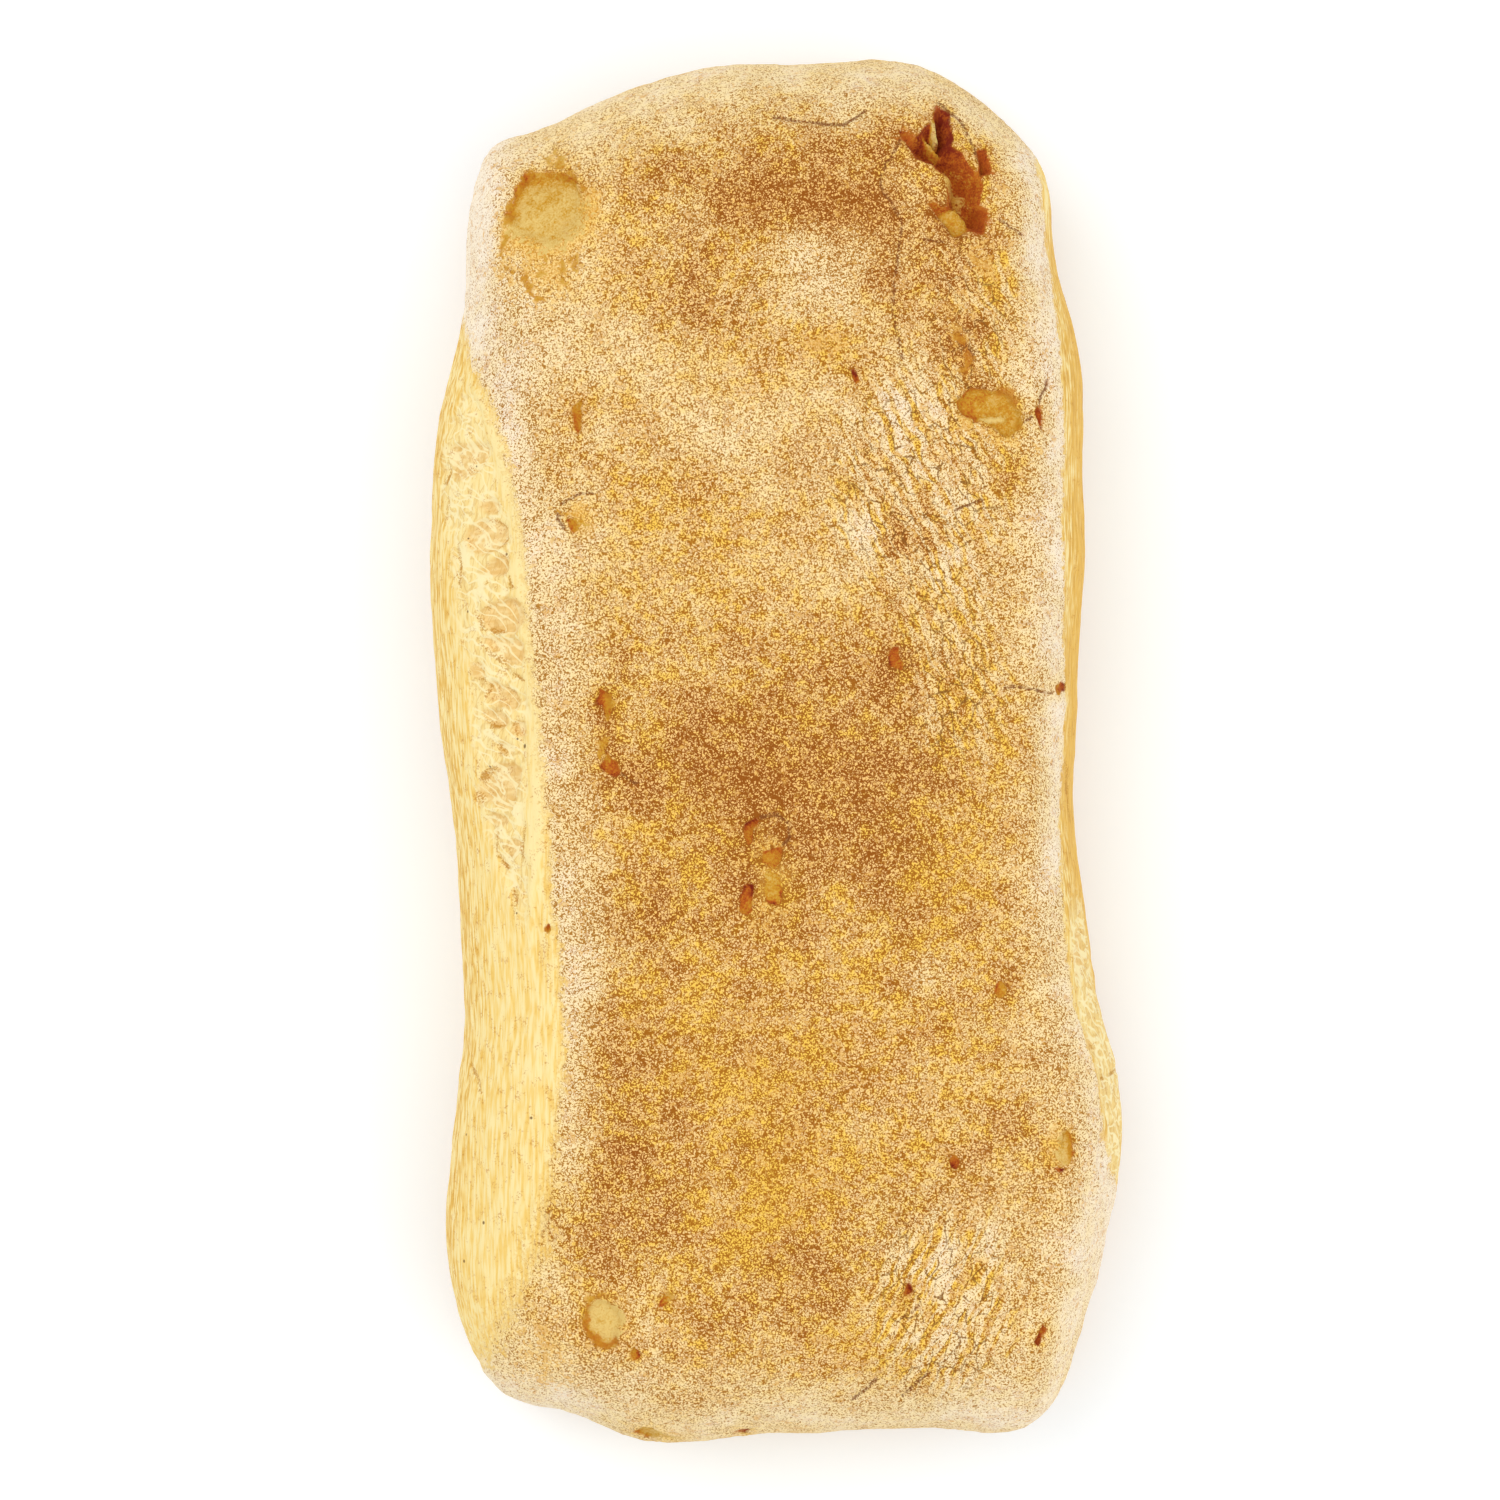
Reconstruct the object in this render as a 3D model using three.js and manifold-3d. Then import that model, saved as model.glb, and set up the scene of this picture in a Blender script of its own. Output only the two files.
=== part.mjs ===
// A ciabatta: one flat, slipper-shaped loaf, solid inside, resting on its flat base.
// Millimetres. X runs across the loaf, Y along it and Z up; the origin is under its middle, on the table.

import * as THREE from 'three';
import { mergeVertices } from 'three/addons/utils/BufferGeometryUtils.js';
import Module from 'manifold-3d';

// Sizes of the whole loaf
const HEIGHT = 60;                    // crown of the top crust above the table
const CROWN_ACROSS = 3.5;             // the top falls this far from the middle to the sides
const CROWN_ALONG = 6;                // and this far from the middle to the two ends
const WALL = { low: 18, high: 27 };   // the walls stand upright between these heights
const HEEL = 11;                      // width of the rounding from wall to base

// Outline seen from above: how far each side stands from the middle, and where it swells (by > 0) or draws in.
// "at" and "reach" are shares of the half length for the two long sides and of the half width for the ends.
const LEFT = {
  out: 64.8,
  swells: [
    { at: 0.71, reach: 0.22, by: -4 },
    { at: 0.35, reach: 0.42, by: 5.7 },
    { at: -0.4, reach: 0.26, by: -3.1 },
    { at: -0.73, reach: 0.32, by: 3.65 },
  ],
};
const RIGHT = {
  out: 64.5,
  swells: [
    { at: 0.83, reach: 0.38, by: -2.2 },
    { at: 0.75, reach: 0.1, by: -2.9 },
    { at: 0.34, reach: 0.45, by: -1.4 },
    { at: -0.07, reach: 0.24, by: -3.1 },
    { at: -0.57, reach: 0.19, by: 6.2 },
  ],
};
const FAR = {
  out: 136.4,
  swells: [
    { at: -0.8, reach: 0.21, by: -9.1 },
    { at: -0.52, reach: 0.27, by: -3.9 },
    { at: 0.13, reach: 0.79, by: 3.7 },
    { at: 0.76, reach: 0.18, by: -6.7 },
  ],
};
const NEAR = {
  out: 133.9,
  swells: [
    { at: -0.66, reach: 0.16, by: -4.1 },
    { at: -0.36, reach: 0.77, by: 5.7 },
    { at: 0.25, reach: 0.6, by: 1.3 },
    { at: 0.81, reach: 0.28, by: 5.4 },
  ],
};
// Share drawn in at each corner of the outline
const CORNER = { farLeft: 0.075, farRight: 0.12, nearLeft: 0.1, nearRight: 0.09 };

// Rounding from the top crust to the walls, as widths seen from above
const SHOULDER = { left: 26, leftFar: 14, right: 13, far: 25, near: 23 };

// Low mounds and hollows of the top crust: centre, reach across and along, height
const MOUNDS = [
  { x: -6, y: 62, across: 26, along: 40, by: 1.6 },
  { x: 22, y: -62, across: 34, along: 38, by: 1.8 },
  { x: -22, y: -16, across: 22, along: 26, by: -1.6 },
  { x: 4, y: 8, across: 30, along: 16, by: -1 },
  { x: -46, y: 104, across: 14, along: 20, by: -3 },
];
const LUMP = 0.5;                     // height of the small unevenness all over the crust

// Long bursts where the wall tore open under the crust: middle line inside the outline, half width, "near" to "far"
const BURSTS = [
  { side: -1, inset: 12, half: 6.5, near: -38, far: 66, deep: 3, lip: 1.2 },
  { side: 1, inset: 2.5, half: 2.6, near: -86, far: -34, deep: 1.6, lip: 0.5 },
];

// Burst bubbles in the crust: middle, half size across and along, depth, turn in degrees
const BUBBLES = [
  { name: 'far left crater', x: -46.1, y: 108, across: 8.4, along: 7.8, deep: 3.6, turn: 20 },
  { name: 'crater tail', x: -43.6, y: 95, across: 4.2, along: 6, deep: 1.3, turn: -8 },
  { name: 'right kidney', x: 41.4, y: 68.4, across: 5.6, along: 3.5, deep: 3, turn: -12 },
  { name: 'right kidney lobe', x: 45.3, y: 65.4, across: 4.1, along: 3.2, deep: 2.6, turn: -30 },
  { name: 'near left round', x: -34.2, y: -113.7, across: 4.1, along: 5, deep: 3.2, turn: 10 },
  { name: 'right wall pit', x: 56.8, y: -78.9, across: 2.4, along: 4.5, deep: 2.4, turn: -6 },
  { name: 'left slit', x: -39.5, y: 65.5, across: 0.9, along: 4, deep: 1.4, turn: -10 },
  { name: 'left shallow', x: -39.7, y: 46.8, across: 3.6, along: 4, deep: 0.8, turn: 0 },
  { name: 'middle right', x: 23.9, y: 17.6, across: 1.6, along: 2.7, deep: 1.6, turn: -14 },
  { name: 'middle left', x: -34.2, y: 9.5, across: 1.6, along: 3.3, deep: 1.6, turn: -8 },
  { name: 'left notch', x: -32.2, y: -3.2, across: 2.6, along: 3.2, deep: 1.7, turn: 24 },
  { name: 'middle hook', x: -4.8, y: -17.3, across: 1.5, along: 4.1, deep: 1.7, turn: 6 },
  { name: 'middle slit', x: -0.8, y: -25.3, across: 1, along: 5.4, deep: 1.5, turn: 0 },
  { name: 'middle hook end', x: -6.1, y: -29.7, across: 1.5, along: 3.1, deep: 1.6, turn: 22 },
  { name: 'far pinhole', x: 15.9, y: 72.5, across: 1.1, along: 1, deep: 1.6, turn: 0 },
  { name: 'right pinhole', x: 30.6, y: -26.3, across: 1, along: 1.2, deep: 1.4, turn: 0 },
  { name: 'right oval', x: 44.7, y: -47.5, across: 1.1, along: 1.9, deep: 1.5, turn: 8 },
  { name: 'near right pinhole', x: 35.6, y: -81.7, across: 1.1, along: 1.4, deep: 1.5, turn: 0 },
  { name: 'near pinhole', x: 26, y: -106.2, across: 1.3, along: 1.3, deep: 1.6, turn: 0 },
  { name: 'near right slit', x: 52.5, y: -115.3, across: 0.9, along: 2.3, deep: 1.3, turn: -30 },
  { name: 'near left slit', x: -22.2, y: -108.5, across: 0.9, along: 1.9, deep: 1.3, turn: 40 },
  { name: 'near left pinhole', x: -27.8, y: -119.5, across: 1.3, along: 1.3, deep: 1.6, turn: 0 },
  { name: 'left edge pinhole', x: -45.5, y: -35.2, across: 1.2, along: 1.2, deep: 1.6, turn: 0 },
];

// The large blown bubble near the far right corner: ragged opening in the crust, wider hollow below it
const TEAR = [
  [25, 122], [27.6, 121.5], [29.2, 122.8], [28.6, 125.7], [31.8, 127.7], [34.8, 126.9], [34, 124.3], [35.2, 119.4],
  [38.8, 116.4], [40.6, 114.8], [40, 112.4], [40.4, 107.5], [41.9, 106.4], [41.3, 102.1], [37.8, 103.5],
  [35.4, 101.5], [29.4, 108.8], [30, 111.4], [28.4, 116.4],
];
const HOLLOW = { x: 34, y: 113.5, across: 8.5, along: 14, half: 4.5, below: 5, turn: 24 };
const SLOT = { x: 41.5, y: 116.8, across: 1.1, along: 2.6, deep: 3, turn: -10 };

// Grid over the loaf: steps across, along and up the walls, and the share of each half that lies on the rounding
const STEPS = { across: 32, along: 66, up: 3 };
const ROUNDED = { across: 0.42, along: 0.3 };
const FLATNESS = 0.04;                // facets that differ by less than this become one

// Colour and finish of the crust
const CRUST = { color: '#dcae66', roughness: 0.9, metalness: 0 };

const swelling = (swells, t) => swells.reduce((sum, s) => sum + s.by * Math.exp(-(((t - s.at) / s.reach) ** 2)), 0);
const bell = (t, reach) => Math.exp(-((t / reach) ** 2));
const ease = (t) => THREE.MathUtils.smoothstep(t, 0, 1);
// Two roundings that meet at a corner, as one rise
const joined = (rise, other) => (rise && other ? 1 / Math.sqrt(rise ** -2 + other ** -2 - 1) : 0);

// A point of the plan for two shares from -1 to 1: corners drawn in, then spread between the four outline curves
function planPoint(a, b) {
  const cut = ((1 - a) * (1 + b) * CORNER.farLeft + (1 + a) * (1 + b) * CORNER.farRight
    + (1 - a) * (1 - b) * CORNER.nearLeft + (1 + a) * (1 - b) * CORNER.nearRight) / 4;
  const power = 1 / cut - 1;
  const s = a * (1 - cut * Math.abs(b) ** power);
  const t = b * (1 - cut * Math.abs(a) ** power);
  const left = -LEFT.out - swelling(LEFT.swells, t);
  const right = RIGHT.out + swelling(RIGHT.swells, t);
  const far = FAR.out + swelling(FAR.swells, s);
  const near = -NEAR.out - swelling(NEAR.swells, s);
  return [((1 - s) * left + (1 + s) * right) / 2, ((1 - t) * near + (1 + t) * far) / 2];
}

// A grid share becomes a share of the plan and a rise from 0 at the wall to 1 inside the rounding, a quarter ellipse
function rounding(grid, width, rounded) {
  const flat = 1 - rounded;
  const size = Math.abs(grid);
  if (size <= flat) return { share: (grid / flat) * (1 - width), rise: 1 };
  const angle = ((size - flat) / rounded) * (Math.PI / 2);
  return { share: Math.sign(grid) * (1 - width * (1 - Math.sin(angle))), rise: Math.max(0, Math.cos(angle)) };
}

const halfWidth = (LEFT.out + RIGHT.out) / 2;
const halfLength = (FAR.out + NEAR.out) / 2;

function topShares(a, b) {
  const leftShoulder = THREE.MathUtils.lerp(SHOULDER.left, SHOULDER.leftFar, ease((b - 0.35) / 0.4));
  const across = rounding(a, (a < 0 ? leftShoulder : SHOULDER.right) / halfWidth, ROUNDED.across);
  const along = rounding(b, (b < 0 ? SHOULDER.near : SHOULDER.far) / halfLength, ROUNDED.along);
  return { across, along };
}

function baseShares(a, b) {
  const across = rounding(a, HEEL / halfWidth, ROUNDED.across);
  const along = rounding(b, HEEL / halfLength, ROUNDED.along);
  return { across, along };
}

function topPoint(a, b) {
  const { across, along } = topShares(a, b);
  const [x, y] = planPoint(across.share, along.share);
  const crown = HEIGHT - CROWN_ACROSS * across.share ** 2 - CROWN_ALONG * along.share ** 4;
  const mounds = MOUNDS.reduce((sum, m) => sum + m.by * bell(x - m.x, m.across) * bell(y - m.y, m.along), 0);
  return [x, y, WALL.high + (crown + mounds - WALL.high) * joined(across.rise, along.rise)];
}

function basePoint(a, b) {
  const { across, along } = baseShares(a, b);
  const [x, y] = planPoint(across.share, along.share);
  return [x, y, WALL.low * (1 - joined(across.rise, along.rise))];
}

// The upright wall, with its grid lines leading from those of the base to those of the top
function wallPoint(a, b, up) {
  const [top, base] = [topShares(a, b), baseShares(a, b)];
  const across = THREE.MathUtils.lerp(base.across.share, top.across.share, up);
  const along = THREE.MathUtils.lerp(base.along.share, top.along.share, up);
  const [x, y] = planPoint(across, along);
  return [x, y, THREE.MathUtils.lerp(WALL.low, WALL.high, up)];
}

// Distance in from the side outline at a place along the loaf
function insetFrom(side, x, y) {
  const edge = side < 0 ? LEFT : RIGHT;
  return edge.out + swelling(edge.swells, y / halfLength) - side * x;
}

// Relief along the surface normal: the bursts with their lips, and the small unevenness
function relief(x, y, z) {
  let out = LUMP * Math.sin(x / 6.5 + 1.3 * Math.sin(y / 17)) * Math.sin(y / 8.2 + 0.9 * Math.sin(x / 11));
  for (const burst of BURSTS) {
    const within = ease((y - burst.near) / 14) * ease((burst.far - y) / 14);
    const offset = insetFrom(burst.side, x, y) - burst.inset;
    const hollow = bell(offset, burst.half * 0.8);
    const lip = bell(offset - burst.half * 1.35, burst.half * 0.4);
    out += within * (burst.lip * lip - burst.deep * hollow);
  }
  return out * ease((z - WALL.low) / 12);
}

function bare(geometry) {
  geometry.deleteAttribute('normal');
  geometry.deleteAttribute('uv');
  return mergeVertices(geometry, 1e-4);
}

// The whole loaf as a box of grid squares, each side moved onto the form
function loafGeometry() {
  const geometry = bare(new THREE.BoxGeometry(2, 2, 2, STEPS.across, STEPS.along, STEPS.up));
  const spots = geometry.getAttribute('position');
  for (let i = 0; i < spots.count; i++) {
    const [a, b, c] = [spots.getX(i), spots.getY(i), spots.getZ(i)];
    const point = c > 0.999 ? topPoint(a, b) : c < -0.999 ? basePoint(a, b) : wallPoint(a, b, (c + 1) / 2);
    spots.setXYZ(i, ...point);
  }
  geometry.computeVertexNormals();
  const normals = geometry.getAttribute('normal');
  for (let i = 0; i < spots.count; i++) {
    const point = new THREE.Vector3().fromBufferAttribute(spots, i);
    const move = relief(point.x, point.y, point.z);
    point.addScaledVector(new THREE.Vector3().fromBufferAttribute(normals, i), move);
    spots.setXYZ(i, point.x, point.y, Math.max(0, point.z));
  }
  geometry.deleteAttribute('normal');
  return geometry;
}

// A bubble of radius 1 with an uneven skin
function bubbleGeometry(detail, seed) {
  const geometry = bare(new THREE.IcosahedronGeometry(1, detail));
  const spots = geometry.getAttribute('position');
  for (let i = 0; i < spots.count; i++) {
    const p = new THREE.Vector3().fromBufferAttribute(spots, i);
    const wide = 0.1 * Math.sin(3.1 * p.x + seed) * Math.sin(2.6 * p.y - 1.7 * seed);
    const fine = 0.06 * Math.sin(5 * p.y + 4 * p.x + seed);
    p.multiplyScalar(1 + wide + fine);
    spots.setXYZ(i, p.x, p.y, p.z);
  }
  return geometry;
}

const form = loafGeometry();
const probe = new THREE.Mesh(form, new THREE.MeshBasicMaterial());
probe.updateMatrixWorld();

// The crust straight below a place seen from above
function crustAt(x, y) {
  const ray = new THREE.Raycaster(new THREE.Vector3(x, y, HEIGHT + 40), new THREE.Vector3(0, 0, -1));
  const [hit] = ray.intersectObject(probe);
  return { point: hit.point, normal: hit.face.normal };
}

// A bubble set into the crust, square to the surface there and raised or sunk along it
function bubbleAt({ x, y, across, along, deep, turn }, raise, detail, seed) {
  const { point, normal } = crustAt(x, y);
  const lean = new THREE.Quaternion().setFromUnitVectors(new THREE.Vector3(0, 0, 1), normal);
  const spin = new THREE.Quaternion().setFromAxisAngle(new THREE.Vector3(0, 0, 1), THREE.MathUtils.degToRad(turn));
  const middle = point.clone().addScaledVector(normal, raise);
  const place = new THREE.Matrix4().compose(middle, lean.multiply(spin), new THREE.Vector3(across, along, deep));
  return bubbleGeometry(detail, seed).applyMatrix4(place);
}

// The ragged opening as an upright prism through the crust
function tearGeometry() {
  const { point } = crustAt(HOLLOW.x, HOLLOW.y);
  const outline = new THREE.Shape(TEAR.map(([x, y]) => new THREE.Vector2(x, y)).reverse());
  const prism = new THREE.ExtrudeGeometry(outline, { depth: 40, bevelEnabled: false, steps: 1 });
  return bare(prism.translate(0, 0, point.z - HOLLOW.below));
}

const wasm = await Module();
wasm.setup();

function solid(geometry) {
  const vertProperties = Float32Array.from(geometry.getAttribute('position').array);
  const triVerts = Uint32Array.from(geometry.getIndex().array);
  return new wasm.Manifold(new wasm.Mesh({ numProp: 3, vertProperties, triVerts }));
}

const cuts = BUBBLES.map((bubble, i) => solid(bubbleAt(bubble, 0, bubble.across > 3 ? 3 : 1, i)));
const hollow = { ...HOLLOW, deep: HOLLOW.half };
cuts.push(solid(bubbleAt(hollow, -HOLLOW.below, 4, 7)), solid(tearGeometry()), solid(bubbleAt(SLOT, 0, 1, 3)));
const baked = wasm.Manifold.difference([solid(form), ...cuts]).simplify(FLATNESS).getMesh();

const geometry = new THREE.BufferGeometry();
geometry.setAttribute('position', new THREE.BufferAttribute(baked.vertProperties, 3));
geometry.setIndex(new THREE.BufferAttribute(baked.triVerts, 1));
geometry.computeBoundingBox();
const { min, max } = geometry.boundingBox;
geometry.translate(-(min.x + max.x) / 2, -(min.y + max.y) / 2, -min.z);

const loaf = new THREE.Mesh(geometry, new THREE.MeshStandardMaterial(CRUST));
loaf.name = 'loaf';
const ciabatta = new THREE.Group();
ciabatta.add(loaf);
export default ciabatta;
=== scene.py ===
import itertools

import bpy
import numpy as np
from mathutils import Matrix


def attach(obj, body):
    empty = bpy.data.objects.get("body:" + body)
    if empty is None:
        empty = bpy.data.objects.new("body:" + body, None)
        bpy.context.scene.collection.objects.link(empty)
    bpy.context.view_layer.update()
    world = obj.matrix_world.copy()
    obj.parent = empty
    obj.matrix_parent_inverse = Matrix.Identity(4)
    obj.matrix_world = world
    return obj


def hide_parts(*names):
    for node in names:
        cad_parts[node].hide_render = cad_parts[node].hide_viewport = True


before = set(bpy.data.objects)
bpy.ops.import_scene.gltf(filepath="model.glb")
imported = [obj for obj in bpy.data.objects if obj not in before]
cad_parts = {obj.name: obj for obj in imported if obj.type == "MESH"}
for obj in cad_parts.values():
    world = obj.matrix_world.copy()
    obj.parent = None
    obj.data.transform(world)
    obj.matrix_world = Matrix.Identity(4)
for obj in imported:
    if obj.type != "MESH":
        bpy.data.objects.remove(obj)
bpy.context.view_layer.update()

# Sizes are in millimetres until a mesh is written: x across the loaf, y along it, z up from the table.
mm = 0.001

# the loaf's form: height, upright wall, heel, shoulders as widths from above, and the grid that carries it
loafForm = {
    "height": 60, "crownAcross": 3.5, "crownAlong": 6,
    "wallLow": 18, "wallHigh": 27, "heel": 11,
    "shoulderLeft": 26, "shoulderLeftFar": 14, "shoulderRight": 13, "shoulderFar": 25, "shoulderNear": 23,
    "roundedAcross": 0.5, "roundedAlong": 0.3,
    "stepsAcross": 300, "stepsAlong": 520, "stepsUp": 16,
    "triangles": 196000, "topFrom": 22,        # bubbles, scorches and pores lie above this height
}

# outline from above: each side's distance from the middle and its swells as (at, reach, by)
loafOutline = {
    "left": (64.8, [(0.71, 0.22, -4), (0.35, 0.42, 5.7), (-0.4, 0.26, -3.1), (-0.73, 0.32, 3.65)]),
    "right": (64.5, [(0.83, 0.38, -2.2), (0.75, 0.1, -2.9), (0.34, 0.45, -1.4), (-0.07, 0.24, -3.1),
                     (-0.57, 0.19, 6.2)]),
    "far": (136.4, [(-0.8, 0.21, -9.1), (-0.52, 0.27, -3.9), (0.13, 0.79, 3.7), (0.76, 0.18, -6.7)]),
    "near": (133.9, [(-0.66, 0.16, -4.1), (-0.36, 0.77, 5.7), (0.25, 0.6, 1.3), (0.81, 0.28, 5.4)]),
    "corners": (0.075, 0.12, 0.1, 0.09),      # share drawn in: far left, far right, near left, near right
}
halfWidth = (loafOutline["left"][0] + loafOutline["right"][0]) / 2
halfLength = (loafOutline["far"][0] + loafOutline["near"][0]) / 2

# low mounds and hollows of the top crust: x, y, reach across, reach along, height
mounds = [
    (-6, 62, 26, 40, 1.6), (22, -62, 34, 38, 1.8), (-22, -16, 22, 26, -1.6), (4, 8, 30, 16, -1),
    (-46, 104, 14, 20, -3),
]

# where the floured crust ends and the bare wall begins, seen from above, as (y, x) down each long side
crustEdge = {
    "left": [
        (140, -80), (90, -66), (83.8, -62.5), (76.8, -61), (72.9, -58), (63.9, -55), (54.9, -52.4),
        (40, -49.8), (15, -47.6), (-15.8, -45), (-46.7, -42.8), (-59.6, -41.8), (-69.6, -43.2),
        (-91.5, -44.8), (-101.4, -46.5), (-109.4, -51.2), (-119.4, -55.4), (-126, -60), (-140, -72),
    ],
    "right": [
        (140, 66), (118.7, 51.9), (105.7, 54), (85.6, 56.3), (64.5, 57.1), (56.4, 57.7), (46.4, 56.9),
        (15.2, 57.9), (-9.9, 57.4), (-22, 56.2), (-35, 56.7), (-51.1, 59.4), (-66.2, 63.6), (-78, 65.8),
        (-90, 70), (-140, 80),
    ],
    "endWall": 13,                             # the crust reaches down to this height round the two ends
    "wander": [(0.5, 5, 31), (0.2, 1.7, 33)],  # noise that the edge wanders by: height, size, seed
}

# burst shoulders: the rough band as (y, middle inside the outline, half width); shallow windows torn
# between its strands as depth, the side where the rim is darker with painted shade in degrees from +x,
# and outline; tears along it, as paths, with painted shade along them
leftBurst = {
    "sunk": 0.9, "lip": 0.8, "rope": 0.55, "seed": 4,
    "line": [
        (74, 5, 0.5), (64, 6.3, 4.3), (51, 8.8, 6.1), (40, 11, 6.4), (20, 12.9, 5.8), (0, 12.1, 5.4),
        (-10, 11.4, 5.6), (-20, 12, 3.6), (-31, 13, 1.4), (-42, 13.5, 0.3),
    ],
    "windows": [
        (0.9, -25, [
            (-65.6, 61), (-64, 61.6), (-61.6, 61.8), (-59.6, 61.8), (-58.4, 61), (-58.2, 59.4),
            (-58.6, 57.6), (-59.6, 56), (-61, 55), (-63.2, 54), (-64.8, 54.4), (-65.6, 56.8)]),
        (1.2, 10, [
            (-60, 46.1), (-58, 46.3), (-56.2, 46.1), (-54.7, 45.3), (-53.5, 43.7), (-53.5, 42.1),
            (-54.5, 40.7), (-56.2, 39.7), (-58.2, 39.1), (-60.6, 38.9), (-62.4, 39.9), (-63, 42.1),
            (-62.4, 44.3)]),
        (1, 0, [
            (-58, 37.1), (-56.6, 38.3), (-54.7, 38.9), (-53.3, 37.9), (-53.1, 36.3), (-54.1, 34.9),
            (-56.2, 34.5), (-58.4, 34.9), (-60.2, 35.5)]),
        (0.7, -40, [
            (-59.8, 49.3), (-58.2, 50.4), (-56.4, 49.9), (-55.3, 48.1), (-56.6, 46.9), (-58.8, 47.3)]),
        (1.3, 215, [
            (-59, 27.9), (-57.2, 29.1), (-54.9, 30.1), (-52.5, 30.3), (-50.7, 29.5), (-49.9, 27.5),
            (-50.1, 25), (-51.3, 23.6), (-53.3, 22.8), (-55.6, 23.2), (-58, 24), (-59.4, 25.9)]),
        (1.1, 225, [
            (-59.2, 22.2), (-57, 22.8), (-54.3, 22.2), (-51.9, 22.2), (-50.1, 21), (-49.9, 18.8),
            (-50.7, 17), (-52.7, 16.8), (-54.3, 16.6), (-55.6, 18.2), (-57.4, 19.8)]),
        (0.8, 150, [(-61.6, 17.4), (-60.2, 17.6), (-59, 16), (-58.8, 14.4), (-60.4, 14), (-62, 15)]),
        (1.1, 60, [
            (-58.8, 13.2), (-57.2, 14), (-55.3, 13), (-53.7, 12.2), (-52.3, 11.6), (-51.5, 9.8),
            (-51.9, 8), (-53.7, 7.8), (-55.8, 8.4), (-57.6, 9.2), (-59.2, 10.6)]),
        (0.9, 250, [
            (-60, 7.6), (-58.2, 8.2), (-56, 7.8), (-54.1, 6.8), (-53.9, 5.2), (-55.6, 4.2), (-57.4, 4.4),
            (-59, 5.8)]),
        (0.9, 180, [
            (-53.3, 5.2), (-51.9, 6), (-50.3, 5.8), (-49.9, 4), (-50.3, 2.6), (-51.9, 2.6), (-53.3, 3.2)]),
        (0.8, 200, [(-56.8, 1.2), (-55.1, 1.8), (-53.3, 1), (-52.5, -0.3), (-53.7, -1.3), (-55.8, -1.5)]),
        (1.3, 175, [
            (-59, -5.1), (-57.6, -3.5), (-55.6, -2.7), (-53.1, -2.5), (-51.3, -3.5), (-51.3, -5.7),
            (-51.9, -8.1), (-51.9, -10.1), (-53.1, -11.9), (-54.7, -12.1), (-56.4, -11.1), (-58.2, -10.5),
            (-59.8, -10.5), (-60.6, -8.9), (-60, -7.1)]),
        (0.7, 250, [
            (-58.2, -12.9), (-57, -12.3), (-55.6, -12.5), (-54.1, -13.5), (-54.3, -14.7), (-56, -15.3),
            (-57.8, -15.1), (-58.6, -14.1)]),
        (0.5, 180, [
            (-54.1, -19.1), (-53.1, -17.5), (-51.7, -17.1), (-50.9, -18.7), (-51.5, -20.9), (-52.9, -22.1),
            (-54.1, -21.3)]),
    ],
    "tears": [
        [(-56.4, -16.7), (-56, -18.5), (-56.2, -20.1), (-55.3, -21.7), (-54.1, -23.7)],
        [(-50.3, -15.1), (-50.5, -17.1), (-50.7, -19.1), (-50.5, -21.9)],
        [(-59.6, -6.1), (-58.8, -4.7), (-57.8, -3.5)], [(-60.4, -8.7), (-59.8, -10.5)],
        [(-59.6, 26.5), (-59, 25), (-58.4, 23.8), (-55.8, 23.4)],
        [(-59.8, 22.2), (-58.8, 20.8), (-57.2, 19.2), (-55.8, 17.8)],
        [(-66.6, 57.8), (-66.2, 56.4), (-67, 53.6)], [(-66.4, 50.8), (-66.6, 48.7), (-67, 46.7)],
        [(-61, 14), (-58.8, 14), (-58.2, 12.6), (-59.2, 11)],
        [(-64.6, 41.3), (-64.2, 39.1), (-63.4, 36.7), (-63.6, 33.5), (-63.2, 31.9)],
        [(-57.6, 4.4), (-55.3, 4.8)], [(-53.1, -28), (-52.3, -29.6), (-52.1, -32.4)],
        [(-55.8, -0.1), (-54.3, -1.3)], [(-61.6, 56), (-60.6, 55.6)],
        [(-55.1, 18.2), (-54.9, 16.2), (-53.9, 16.2)], [(-53.3, 15.4), (-52.1, 14.8), (-50.3, 13.6)],
        [(-55.6, 34.1), (-57.6, 33.5)], [(-53.1, 34.3), (-52.5, 32.3), (-53.9, 31.9)],
        [(-61.2, -63.3), (-60.8, -64.9), (-59.6, -66.3), (-59.2, -68.7)],
    ],
}
rightBurst = {
    "sunk": 0.5, "lip": 0.3, "rope": 0.35, "seed": 9,
    "line": [
        (-24, 2, 0.3), (-34, 2.6, 1.8), (-52, 2.8, 2.6), (-70, 2.4, 2.6), (-86, 2, 2.2), (-95, 1.4, 0.3),
    ],
    "windows": [
        (0.8, 90, [(60.3, -36), (61.5, -35.4), (62.2, -40), (62, -45), (60.8, -45.6), (60, -41)]),
        (0.7, 0, [(61.6, -57.6), (62.6, -56.6), (63.8, -57.8), (63.8, -60), (62.6, -60.8), (61.6, -59.6)]),
        (0.9, 180, [(64.2, -76.4), (65.4, -75.6), (66.4, -79), (66.2, -84), (65.4, -86.4), (64, -83)]),
        (0.9, 270, [(64.8, -89), (66.2, -88.2), (67.8, -89), (67.6, -91), (66, -91.8)]),
    ],
    "tears": [
        [(58.6, -2), (59.3, -8), (59.8, -14)], [(65.6, -65.5), (69, -64.8)],
    ],
}
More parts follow.
